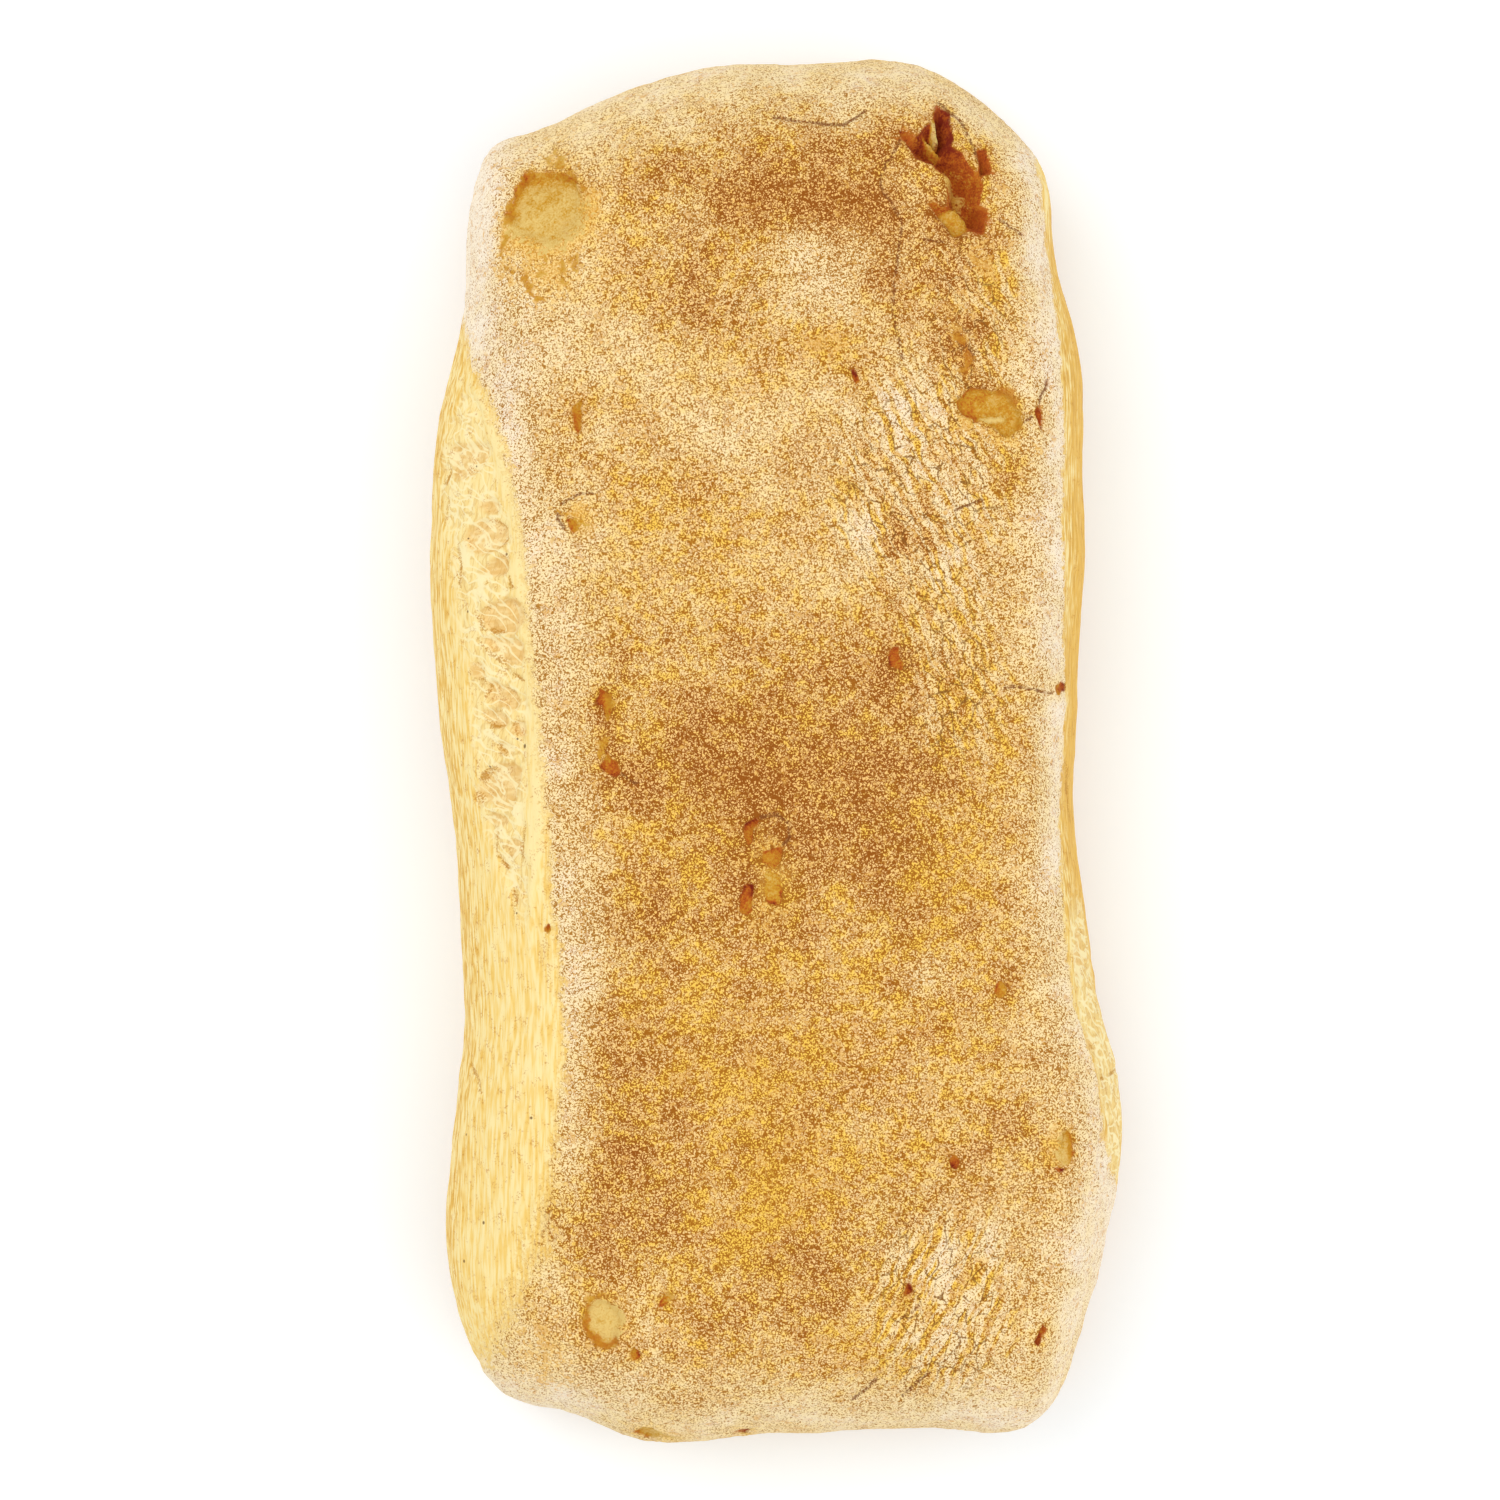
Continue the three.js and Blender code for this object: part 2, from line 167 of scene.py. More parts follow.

# pin-prick pores of the bare wall and the burst, each drawn as a dot of painted shade: x, y, radius
pores = [
    (-53.7, 38.8, 0.26), (-62.7, 42.7, 0.2), (-61.5, 27.9, 0.26), (-52.4, 2.2, 0.22), (-50.7, 0.6, 0.44),
    (-51.9, -32.4, 0.22), (-57.6, -3.5, 0.26), (-61.4, 57.2, 0.2), (-59.1, -94.8, 0.34),
    (-62.8, -102.9, 0.32), (-48.9, -73.5, 0.28), (-62.4, -77.6, 0.22),
]

# bubbles whose thin lids have flaked away: depth, tone of the floor from -0.5 dark red to 1 pale gold,
# the side where it is darker in degrees from +x, how softly the crust runs out on the other side, and
# the outline from above
pits = {
    "crater": (2, 0.84, 115, 1, [
        (-54.6, 103.3), (-53.8, 108.7), (-52.6, 112.7), (-50.6, 115.9), (-47, 115.9), (-43.8, 115.7),
        (-40.8, 114.9), (-39, 112.3), (-37.2, 108.9), (-37.8, 104.9), (-39.8, 101.9), (-43.2, 99.8),
        (-47.6, 99.8), (-51.6, 100.9)]),
    "kidney": (1.6, 0.56, 185, 0, [
        (35.6, 68.4), (37.6, 70.8), (39.8, 71.8), (42.8, 71.6), (45, 71.6), (46.8, 70.6), (48.6, 67.2),
        (49.2, 65), (48.4, 63.2), (46.2, 62.4), (44, 63.2), (41.8, 64.8), (39.2, 65.6), (37.2, 66.8)]),
    "nick": (0.8, 0, 0, 0, [(52.3, 68.9), (51.1, 67.1), (51.9, 65.6), (52.9, 63.4), (52.9, 66.4)]),
    "roundPit": (1.4, 0.98, 225, 0.3, [
        (-37, -109.8), (-34.8, -109.2), (-32.4, -109.8), (-30.8, -111.5), (-30.1, -114), (-30.8, -117.2),
        (-33, -119.5), (-35.4, -118.8), (-37.6, -116.8), (-38.6, -114.2), (-38.2, -111.7)]),
    "sidePit": (1.2, 0.8, 10, 0.7, [
        (57.6, -75.2), (58.8, -76.8), (59.6, -79.2), (59, -81.7), (57.6, -83.3), (56, -82.5), (55, -79.8),
        (55.4, -77.6)]),
    "sideHole": (1, -0.2, 0, 0, [(55, -82.7), (56.2, -83.5), (57.4, -83.1), (57, -84.3), (56, -84.3)]),
    "slit": (0.9, 0.4, 200, 0, [
        (-39, 69.9), (-40.2, 68.5), (-40.6, 67.1), (-40, 64.5), (-39.2, 62.3), (-38.6, 64.1),
        (-38.8, 66.7), (-38.6, 68.9)]),
    "flap": (0.5, 0.45, 200, 0.6, [
        (-41.6, 45.8), (-40.2, 46.2), (-38.6, 46), (-38, 44.8), (-39.4, 43.8), (-40.4, 42.6)]),
    "blob": (0.8, 0.15, 150, 0, [
        (22.5, 20.2), (24.1, 20.4), (24.3, 18), (25.5, 17.8), (25.3, 15.9), (23.9, 15.9), (22.3, 16.7),
        (22.1, 18.4)]),
    "boomerang": (0.7, 0.33, 180, 0, [
        (-34.8, 12.1), (-36, 9.1), (-34.8, 8.9), (-34, 7.5), (-33.6, 5.9), (-32.8, 7.5), (-33, 9.1),
        (-32.5, 11.1), (-34, 11.3)]),
    "notch": (0.9, 0.2, 240, 0, [
        (-33.4, 0), (-34.4, -2.4), (-35.2, -3), (-33, -5), (-31.8, -5.6), (-31, -4.8), (-31.4, -2.2),
        (-33, -1.8)]),
    "hook": (0.8, 0.12, 120, 0, [
        (-6.1, -14.6), (-5, -13.6), (-3.2, -13.4), (-3.4, -14.8), (-4.6, -15.9), (-4.6, -18.3),
        (-5.7, -18.9), (-6.3, -16.7)]),
    "brownPatch": (0.6, 0.33, 90, 0, [
        (-2.8, -20.3), (-1.4, -20.1), (-0.4, -19.3), (1.4, -18.9), (1, -21.3), (0.4, -23.1), (-1.6, -23.5),
        (-2.8, -22.1)]),
    "olivePatch": (0.5, 0.45, 300, 0.5, [
        (-1.8, -23.9), (0.6, -23.3), (1.2, -26.5), (1.2, -30.6), (-0.2, -30.6), (-1.8, -30.4),
        (-2.6, -27.5)]),
    "plank": (0.8, 0.15, 90, 0, [
        (-6.5, -26.5), (-4.8, -26.7), (-4.6, -29.7), (-5, -32.2), (-6.1, -32.8), (-7.5, -31.8),
        (-7.1, -29.1)]),
    "seedNearLeft": (0.7, 0.5, 230, 0, [
        (-21, -107.7), (-20.4, -108.7), (-21.5, -110.2), (-23.1, -110.8), (-23.5, -110.5), (-22.4, -108.8)]),
    "seedNear": (0.9, 0, 0, 0, [
        (26.6, -105.5), (27.6, -107.7), (26.5, -108), (24.9, -108.5), (25.6, -106.7)]),
    "seedNearRight": (0.9, 0, 240, 0, [
        (53.4, -114.5), (54, -115.5), (52.8, -117.7), (52.2, -118.9), (51.4, -118.1), (52.4, -116.1)]),
    "seedRight": (0.8, 0.1, 270, 0, [
        (34.8, -80.2), (36, -80.4), (36.6, -81.6), (36, -83), (34.8, -83), (34.3, -81.6)]),
    "seedMiddle": (0.7, 0.5, 160, 0, [
        (44.8, -45.6), (45.8, -47.2), (45.4, -49), (44.2, -49.6), (43.4, -47.8), (44, -46.2)]),
    "seedLeft": (0.8, 0.35, 0, 0, [
        (-28.6, -119), (-27.1, -119.8), (-27.1, -121.2), (-28.4, -121.7), (-29.4, -120.5)]),
    "seedFar": (0.9, 0, 90, 0, [
        (14.9, 75.6), (15.9, 75.8), (16.3, 74.4), (16.9, 73.2), (15.9, 72.6), (15.1, 74)]),
    "rightTear": (0.7, 0.25, 0, 0.2, [
        (55.7, 13.2), (56.9, 13.8), (58.1, 13.4), (58.1, 12.4), (57.1, 11.6), (56.1, 11.2), (55.5, 12.2)]),
    "wallHole": (1, 0.3, 90, 0, [
        (-46.2, -34.8), (-45.3, -34.4), (-44.6, -35.6), (-45.2, -36.6), (-46.1, -36)]),
    "nearPatch": (0.8, 0.8, 180, 0.3, [
        (-28.7, -137.5), (-26.8, -135.8), (-25.2, -136), (-22.9, -137.3), (-20.5, -138.3), (-17.8, -138.5),
        (-20.5, -139.1), (-23.8, -138.7), (-26.4, -139.1)]),
    "nearNick": (0.7, -0.2, 0, 0, [(-8.2, -138.1), (-7, -137.3), (-4.9, -137.7), (-6.2, -138.5)]),
    "blown": (6, 0.0, 105, 0, [
        (24.2, 123.6), (25.6, 123.8), (26.8, 121.8), (28.6, 122.8), (29.6, 124.6), (31, 125.4),
        (32.2, 128.8), (35, 127.8), (34.8, 125.6), (35.6, 122.6), (35, 120.4), (37, 119), (38.6, 116.6),
        (40.4, 115), (40.2, 119.8), (42, 120), (43, 115.6), (41.4, 114.4), (40.6, 110.6), (40.8, 108.2),
        (42.2, 107.2), (41.6, 102.6), (38, 103.4), (35.6, 102), (32.6, 105.8), (30, 109), (31.4, 109.4),
        (34, 107.6), (33.8, 110.6), (34.4, 114), (31, 116.8), (28.2, 117.6), (26.6, 119.8)]),
}

# flakes of crust still standing in the bubbles: how far below the crust, tone as above, outline
flakes = {
    "kidneyFold": (0.7, 1, [(42, 64.8), (44, 65.2), (45.8, 65.4), (45.2, 66.6), (42.8, 66.5), (40, 65.6)]),
    "strip": (0.8, 1.1, [(30.2, 127.6), (31.5, 128), (33.2, 122), (32, 121.6)]),
    "oliveFlake": (2.6, 0.55, [
        (29.4, 123.2), (30.4, 123.4), (32.4, 121.2), (33.6, 119.6), (32.8, 119), (31, 120.8)]),
    "floorFlake": (2, 0.5, [
        (32.2, 106), (34.6, 107.6), (36.4, 108), (38, 105.6), (38, 103.2), (35.2, 102)]),
}

# fine cracks in the crust, as paths
cracks = [
    [(-0.4, 126.3), (9.6, 124.9), (13.5, 124.7), (18.1, 127.7)], [(25.1, 121.8), (20.5, 114.4)],
    [(20.5, 113.4), (24.1, 106.5), (25.4, 104.5), (23.1, 89.6), (24.1, 83.6), (25.4, 77.6)],
    [(32.4, 130.3), (37.4, 124.9), (40.4, 117.4)], [(29.4, 101.5), (33.4, 101.1)],
    [(44.3, 105.5), (49.3, 103.1)], [(36, 82.6), (39.4, 77.6)], [(45.3, 12.5), (54.9, 11.7)],
    [(24.9, -113.7), (28.4, -110.1)], [(15.5, -130.6), (20.1, -126)], [(25.4, -129.6), (30.4, -124)],
    [(-31, -4.8), (-29, -6.4), (-27, -6.6)], [(-42.6, 48.6), (-40.8, 49.8), (-38.8, 50.5), (-36.8, 51.1)],
    [(-43.2, 47), (-43.6, 45.8), (-42.2, 44)], [(52.5, 69.2), (53.6, 73.4)], [(49.2, 65.4), (50.8, 66)],
    [(35.8, 47.6), (41, 50)], [(-3.4, -13.4), (-0.4, -12.8), (2.2, -14.2), (2.6, -16.8), (1.6, -18.8)],
]

# torn and scorched skin about the bubbles: reach, tone as above, path
scorched = [
    (0.35, 0.35, [(-53.8, 105.6), (-53.4, 109.4), (-52.2, 113), (-50.2, 115.7), (-48.2, 116.5)]),
    (0.4, 0.35, [(-44.8, 117), (-42.8, 115.8), (-40.4, 114.6), (-38.4, 111.8)]),
    (0.5, 0.3, [(-43.4, 118.4), (-42.6, 116.2)]), (0.4, 0.4, [(-54.9, 98.4), (-54.4, 102.4)]),
    (0.45, 0.4, [(-54.6, 96.6), (-52.2, 95.4), (-50.4, 93.6)]),
    (0.4, 0.35, [(-48.6, 91.2), (-46.6, 89.4)]), (0.4, 0.5, [(-46, 98.8), (-46.6, 94.6)]),
    (0.45, 0.45, [(-42.8, 98.6), (-43.2, 95.2), (-42.2, 92.8)]),
    (0.5, 0.35, [(-50.6, 95.2), (-49.6, 92.8), (-48.2, 90.8)]), (0.6, 0.4, [(-40.6, 98.6), (-40.2, 95.8)]),
    (0.6, 0.6, [(-44.2, 121.3), (-42.8, 117.7)]), (0.5, 0.6, [(-46.4, 119.7), (-44.8, 116.7)]),
    (1.2, 0.25, [(36.3, 82.3), (37.6, 79.9), (38.5, 77.5), (38.3, 75.5)]),
    (1, 0.25, [(44.7, 70.9), (46.5, 71.1), (47.5, 69.5)]), (0.7, 0.3, [(36.2, 68.4), (37.6, 69.6)]),
    (0.7, 0.4, [(48.5, 65.9), (48.1, 63.5)]), (0.35, 0.4, [(-42.8, 47.2), (-41.6, 46), (-40.4, 44.4)]),
    (0.5, 0.35, [(-34, 10.9), (-32.9, 9.3), (-33.1, 6.9)]),
    (0.5, 0.4, [(-35.2, -1.2), (-34.4, 1.1), (-33.7, 2.5)]),
    (0.6, 0.5, [(-2.2, -27.8), (0.6, -27.4), (0.2, -30.1)]),
    (0.5, 0.2, [(-37.6, -110.7), (-38.2, -113.1), (-37.6, -115.8), (-35.8, -118), (-32.9, -118.8),
                (-31.5, -118.2)]),
    (0.35, 0.4, [(-37.2, -109.5), (-35.6, -108.9), (-33.7, -109.1)]),
    (1.6, 0.62, [(34.5, 113.8), (35.9, 111.8), (36.5, 109.8)]),
    (1.2, -0.1, [(40.7, 106.4), (40.1, 103.4)]), (1.2, 0, [(25.5, 122.3), (27.7, 121.1), (29.5, 119.7)]),
    (1, -0.3, [(32.7, 127.7), (33.1, 124.7), (33.9, 121.7)]), (0.9, -0.1, [(41.1, 118.7), (41.9, 115.7)]),
]

# crust that is golden and bare of flour, about the bubbles: x, y, reach across, reach along, amount
gilded = [
    (-46, 95, 6.5, 5.5, 1), (-54.5, 102, 2, 8, 0.7), (-36.4, 107, 3, 6, 0.6), (-44, 118.5, 3.5, 2.5, 0.7),
    (38, 66, 3, 3, 0.8), (44, 61.6, 4, 2, 0.7), (-39.4, 47.4, 3, 2, 0.9), (-1.5, -20, 4, 5, 0.7),
    (-2, -32, 5, 5, 0.5), (0.6, -72, 12, 22, 0.35), (-46, -121, 5, 7, 0.7), (41.4, 97, 3, 4, 0.8),
    (10.5, 80.6, 4, 2.2, 0.8), (52.4, 59.6, 1.4, 2, 0.7), (36, 85, 2, 5, 0.6),
]

# flour crust drawn into wrinkles and split into small plates: turn of the plates in degrees, their size
# across and along, and the places where they show as x, y, reach across, reach along, amount
plates = {
    "platesRight": {
        "turn": 27, "size": (2.2, 4),
        "places": [(28, 52, 22, 28, 1), (40, 92, 12, 18, 0.7), (36, 8, 13, 18, 0.8)],
    },
    "platesNear": {
        "turn": -25, "size": (2.2, 4),
        "places": [(33, -110, 19, 24, 1), (-6, 88, 18, 12, 0.6)],
    },
}

# browner and more floured places of the top crust: x, y, reach across, reach along, amount
toasted = [
    (18.5, 108.4, 12, 12, 0.85), (-3.4, 112.4, 19, 10, 0.75), (-34, 20, 5, 12, 0.5),
    (-17.3, 91.6, 8, 10, 0.5), (38, 78, 6, 12, 0.8), (33, 98, 8, 10, 0.5), (28, 41, 6, 6, 0.9),
    (23.1, 18, 4, 4, 0.6), (-2, -3, 36, 15, 0.7), (-24, -33, 12, 9, 0.7), (-3.4, -21.7, 12, 12, 0.3),
    (30.4, -23.7, 14, 22, 0.4), (-30.2, -77.3, 12, 12, 0.45), (-27.2, -97.2, 10, 12, 0.3),
    (1.6, -106, 14, 11, 0.4), (43.3, -76.3, 14, 8, 0.35), (22, 101, 8, 8, 0.4), (49, 56, 5, 6, 0.6),
    (50, -96, 8, 8, 0.3), (22, -98, 6, 8, 0.3),
]
floured = [
    (8.6, 96.5, 9, 9, 0.8), (25.4, 63.7, 16, 14, 0.55), (-33.2, 80.6, 12, 8, 0.35),
    (30.4, -44.6, 5, 4.4, 0.5), (36.4, -97.2, 18, 14, 0.45), (-15.3, 63.7, 26, 10, 0.3),
    (-39.1, 26, 6, 24, 0.3), (10.5, 80.6, 6, 3, -0.6), (-25.2, -56.4, 10, 10, -0.35),
    (0.6, -89.3, 10, 14, -0.4), (-0.4, -20, 9, 12, -0.4), (24.5, -19.7, 12, 14, -0.3),
    (-2, -8, 30, 18, -0.3), (56, 10, 7, 40, 0.25), (42, -122, 18, 14, 0.4), (52, 80, 8, 30, 0.3),
    (-60, 112, 8, 26, 1.3), (-52, -128, 14, 12, 0.6), (62, -105, 10, 25, 0.75), (42, 34, 11, 14, 0.35),
    (-40, 106, 14, 24, 0.35), (-6, -66, 34, 46, -0.22), (-42, 42, 8, 26, 0.25), (-37, -32, 5, 26, 0.55),
    (-30, -118, 14, 9, 0.4), (16, 41, 16, 12, 0.4), (-52, 80, 6, 14, 0.6), (54, -58, 6, 10, 0.4),
    (49, 56, 5, 6, -0.3),
]


# smoothstep of t from 0 to 1
def ease(t):
    t = np.clip(t, 0, 1)
    return t * t * (3 - 2 * t)


# bell curve: exp(-(t / reach) squared)
def bell(t, reach):
    return np.exp(-(t / reach) ** 2)


# sum of bells: by * exp(-((t - at) / reach) squared)
def swelling(swells, t):
    return sum(by * bell(t - at, reach) for at, reach, by in swells)


# sum of round patches: amount * bell across * bell along
def patches(x, y, places):
    return sum(by * bell(x - px, across) * bell(y - py, along) for px, py, across, along, by in places)


# whole numbers scrambled into values from -1 to 1
def scrambled(cells, seed):
    mixed = cells @ np.array([73856093, 19349663, 83492791][:cells.shape[1]]) + seed * 26544357
    mixed = (mixed ^ (mixed >> 13)) * 1274126177
    return ((mixed ^ (mixed >> 16)) % 65536) / 32768 - 1


# smooth noise: scrambled values at the corners of unit cubes, blended with smoothstep weights
def cubeNoise(points, seed):
    cell = np.floor(points).astype(np.int64)
    part = points - cell
    part = part * part * (3 - 2 * part)
    total = np.zeros(len(points))
    for corner in itertools.product((0, 1), repeat=points.shape[1]):
        weight = np.prod(np.where(corner, part, 1 - part), axis=1)
        total += weight * scrambled(cell + np.array(corner), seed)
    return total


# two octaves of cube noise, the second half as large and half as strong
def roughNoise(points, seed):
    return cubeNoise(points, seed) + 0.5 * cubeNoise(points * 2.1 + 7.3, seed + 1)


# layers of rough noise, each given as height, size and seed
def layered(points, layers):
    return sum(by * roughNoise(points / size, seed) for by, size, seed in layers)


# two fields of rough noise side by side, to push a plan position about
def planNoise(points, seed):
    return np.stack([roughNoise(points, seed), roughNoise(points, seed + 2)], axis=1)


# a column of a list of rows at places along the loaf; each row starts with its y, from the far end down
def downAlong(y, rows, column):
    return np.interp(-y, [-row[0] for row in rows], [row[column] for row in rows])


# distance from points in plan to a path of straight pieces
def pathDistance(flat, path):
    best = np.full(len(flat), 1e9)
    for start, end in zip(path[:-1], path[1:]):
        start, end = np.array(start, float), np.array(end, float)
        along = np.clip((flat - start) @ (end - start) / np.sum((end - start) ** 2), 0, 1)
        best = np.minimum(best, np.linalg.norm(flat - start - along[:, None] * (end - start), axis=1))
    return best


# depth inside a closed outline in plan: distance to its border, negative outside
def outlineDepth(flat, outline):
    loop = [*outline, outline[0]]
    inside = np.zeros(len(flat), bool)
    for (x0, y0), (x1, y1) in zip(loop[:-1], loop[1:]):
        crosses = (y0 > flat[:, 1]) != (y1 > flat[:, 1])
        inside ^= crosses & (flat[:, 0] < (x1 - x0) * (flat[:, 1] - y0) / (y1 - y0 + 1e-9) + x0)
    return np.where(inside, 1, -1) * pathDistance(flat, loop)


# an outline with its corners cut: each side keeps the points at a quarter and three quarters of it
def cornersCut(outline):
    here = np.array(outline, float)
    ahead = np.roll(here, -1, axis=0)
    return np.stack([0.75 * here + 0.25 * ahead, 0.25 * here + 0.75 * ahead], axis=1).reshape(-1, 2)


# places in plan close to an outline, with the outline's middle and reach
def nearTo(flat, high, outline):
    loop = np.array(outline)
    close = np.all((flat > loop.min(0) - 3) & (flat < loop.max(0) + 3), axis=1)
    return np.flatnonzero(high & close), loop.mean(0), np.ptp(loop, axis=0).max() / 2


# how far places lie towards a side given in degrees from +x, as a share of the reach
def towards(flat, middle, reach, side):
    turn = np.radians(side)
    return (flat - middle) @ np.array([np.cos(turn), np.sin(turn)]) / reach


# a box of grid squares: all lattice points on its six sides, from -1 to 1, and its four-sided faces
def boxGrid(across, along, up):
    shape = (across + 1, along + 1, up + 1)
    skin = np.zeros(shape, bool)
    skin[[0, -1]] = True
    skin[:, [0, -1]] = True
    skin[:, :, [0, -1]] = True
    number = np.cumsum(skin).reshape(shape) - 1
    spots = np.argwhere(skin) / (np.array(shape) - 1) * 2 - 1

    def squares(sheet):
        return np.stack([sheet[:-1, :-1], sheet[1:, :-1], sheet[1:, 1:], sheet[:-1, 1:]], -1).reshape(-1, 4)

    faces = np.concatenate([
        squares(number[:, :, -1]), squares(number[:, :, 0])[:, ::-1],
        squares(number[:, 0]), squares(number[:, -1])[:, ::-1],
        squares(number[0])[:, ::-1], squares(number[-1]),
    ])
    return spots, faces


# plan of the loaf for two shares: corners drawn in, then spread between the four outline curves
def planPoint(a, b):
    farLeft, farRight, nearLeft, nearRight = loafOutline["corners"]
    cut = ((1 - a) * (1 + b) * farLeft + (1 + a) * (1 + b) * farRight
           + (1 - a) * (1 - b) * nearLeft + (1 + a) * (1 - b) * nearRight) / 4
    s = a * (1 - cut * np.abs(b) ** (1 / cut - 1))
    t = b * (1 - cut * np.abs(a) ** (1 / cut - 1))
    left, right, far, near = (loafOutline[side][0] + swelling(loafOutline[side][1], way)
                              for side, way in (("left", t), ("right", t), ("far", s), ("near", s)))
    return ((1 + s) * right - (1 - s) * left) / 2, ((1 + t) * far - (1 - t) * near) / 2


# quarter ellipse: a grid share becomes a plan share and a rise from 0 at the wall to 1 inside the rounding
def rounding(grid, width, rounded):
    size = np.abs(grid)
    angle = np.clip((size - 1 + rounded) / rounded, 0, 1) * np.pi / 2
    level = size / (1 - rounded) * (1 - width)
    share = np.where(size <= 1 - rounded, level, 1 - width * (1 - np.sin(angle)))
    return np.sign(grid) * share, np.maximum(np.cos(angle), 1e-9)


# two roundings that meet at a corner, as one rise
def joined(rise, other):
    return 1 / np.sqrt(rise ** -2.0 + other ** -2.0 - 1)


# top, base and upright wall of the loaf, chosen by the height on the box grid
def loafPoints(spots):
    a, b, c = spots.T
    form = loafForm
    narrowing = (form["shoulderLeftFar"] - form["shoulderLeft"]) * ease((b - 0.35) / 0.4)
    leftWidth = form["shoulderLeft"] + narrowing
    topWidth = np.where(a < 0, leftWidth, form["shoulderRight"]) / halfWidth
    topLength = np.where(b < 0, form["shoulderNear"], form["shoulderFar"]) / halfLength
    topAcross, topRiseA = rounding(a, topWidth, form["roundedAcross"])
    topAlong, topRiseB = rounding(b, topLength, form["roundedAlong"])
    baseAcross, baseRiseA = rounding(a, form["heel"] / halfWidth, form["roundedAcross"])
    baseAlong, baseRiseB = rounding(b, form["heel"] / halfLength, form["roundedAlong"])
    up = (c + 1) / 2
    across = baseAcross + (topAcross - baseAcross) * up
    along = baseAlong + (topAlong - baseAlong) * up
    x, y = planPoint(across, along)
    crown = form["height"] - form["crownAcross"] * across ** 2 - form["crownAlong"] * along ** 4
    crown = crown + patches(x, y, mounds)
    top = form["wallHigh"] + (crown - form["wallHigh"]) * joined(topRiseA, topRiseB)
    base = form["wallLow"] * (1 - joined(baseRiseA, baseRiseB))
    wall = form["wallLow"] + (form["wallHigh"] - form["wallLow"]) * up
    z = np.where(c > 0.999, top, np.where(c < -0.999, base, wall))
    return np.stack([x, y, np.maximum(z, 0)], axis=1)


# corner normals: cross products of the faces' diagonals, added up at each corner
def cornerNormals(points, faces):
    quads = points[faces]
    flat = np.cross(quads[:, 2] - quads[:, 0], quads[:, 3] - quads[:, 1])
    used = faces.ravel()
    total = np.stack([np.bincount(used, np.repeat(part, 4), len(points)) for part in flat.T], axis=1)
    return total / np.maximum(np.linalg.norm(total, axis=1, keepdims=True), 1e-12)


# how far inside a long side's outline a place is, seen from above
def insetFrom(side, x, y):
    out, swells = loafOutline[side]
    return out + swelling(swells, y / halfLength) - (x if side == "right" else -x)


# bare wall: positive outside the crust edge of either side, or below it round the ends
def bareness(points):
    x, y, z = points.T
    outside = np.maximum(downAlong(y, crustEdge["left"], 1) - x, x - downAlong(y, crustEdge["right"], 1))
    return np.maximum(outside, crustEdge["endWall"] - z) + layered(points, crustEdge["wander"])


# what both bursts share: band's ragged border, lip in half widths, rope's bend and size, crevices and their
# painted shade
burstForm = {
    "narrowest": 0.3, "ragged": 0.2, "lipAt": 1.5, "lipReach": 0.35, "ropeBend": 1.6, "ropeSize": (2.2, 4.5),
    "windowRagged": 0.35, "windowRim": 0.75, "rimReach": 0.55, "tearReach": 0.5, "creviceSunk": 0.35,
}


# a burst shoulder: a sunk band with a lip inside it, ropy strands, shallow windows torn between them, and
# tears; returns relief, band, windows, crevices that take painted shade along the tears and the windows'
# darker rims, and the lip
def burstRelief(points, side, burst):
    x, y, z = points.T
    form, seed = burstForm, burst["seed"]
    middle = downAlong(y, burst["line"], 1)
    half = downAlong(y, burst["line"], 2)
    high = ease((z - loafForm["wallHigh"] + 6) / 8)
    offset = (insetFrom(side, x, y) - middle) / np.maximum(half, form["narrowest"])
    offset = offset + form["ragged"] * roughNoise(points / 4, seed)
    strong = ease((half - form["narrowest"]) / 2) * high
    zone = ease((1.2 - np.abs(offset)) / 0.5) * strong
    lip = bell(offset - form["lipAt"], form["lipReach"]) * strong
    bend = np.stack([x * 0.7 - z * 0.6 + 0.35 * y, y * 0.9], axis=1)
    bend = bend + form["ropeBend"] * planNoise(points / 7, seed + 2)
    rope = 1 - 2 * np.abs(cubeNoise(bend * (1 / np.array(form["ropeSize"])), seed + 6))
    flat = points[:, :2] + form["windowRagged"] * planNoise(points / 2.4, seed + 8)
    broken = ease(0.5 + roughNoise(points / 2.6, seed + 12))
    window = np.zeros(len(points))
    shadedCrevice = np.zeros(len(points))
    drop = np.zeros(len(points))
    for deep, darkSide, outline in burst["windows"]:
        near, spot, reach = nearTo(flat, high > 0.5, outline)
        inside = outlineDepth(flat[near], outline)
        dark = ease((towards(flat[near], spot, reach, darkSide) + 0.1) / 0.6)
        drop[near] = np.maximum(drop[near], deep * ease((inside + 0.3) / 1.3))
        window[near] = np.maximum(window[near], ease((inside + 0.35) / 0.8))
        # painted shade on the darker side of each window's rim
        rim = form["windowRim"] * broken[near] * dark * bell(inside - 0.3, form["rimReach"])
        shadedCrevice[near] = np.maximum(shadedCrevice[near], rim)
    # painted shade along the tears
    for path in burst["tears"]:
        near = nearTo(flat, high > 0.5, path)[0]
        torn = bell(pathDistance(flat[near], path), form["tearReach"])
        shadedCrevice[near] = np.maximum(shadedCrevice[near], torn * (0.55 + 0.45 * broken[near]))
    ropes = burst["rope"] * zone * rope * (1 - 0.8 * window)
    rise = burst["lip"] * lip + ropes - form["creviceSunk"] * shadedCrevice
    return rise - burst["sunk"] * zone - drop, zone, window, shadedCrevice, lip


# what the bubbles share: ragged rims, teeth on those of middling depth, curled crust and uneven floors
pitForm = {
    "ragged": 0.34, "toothFrom": 1.1, "toothTo": 3, "tooth": (0.45, 1.1, 45),
    "curl": 0.14, "uneven": (0.16, 3, 47),
}


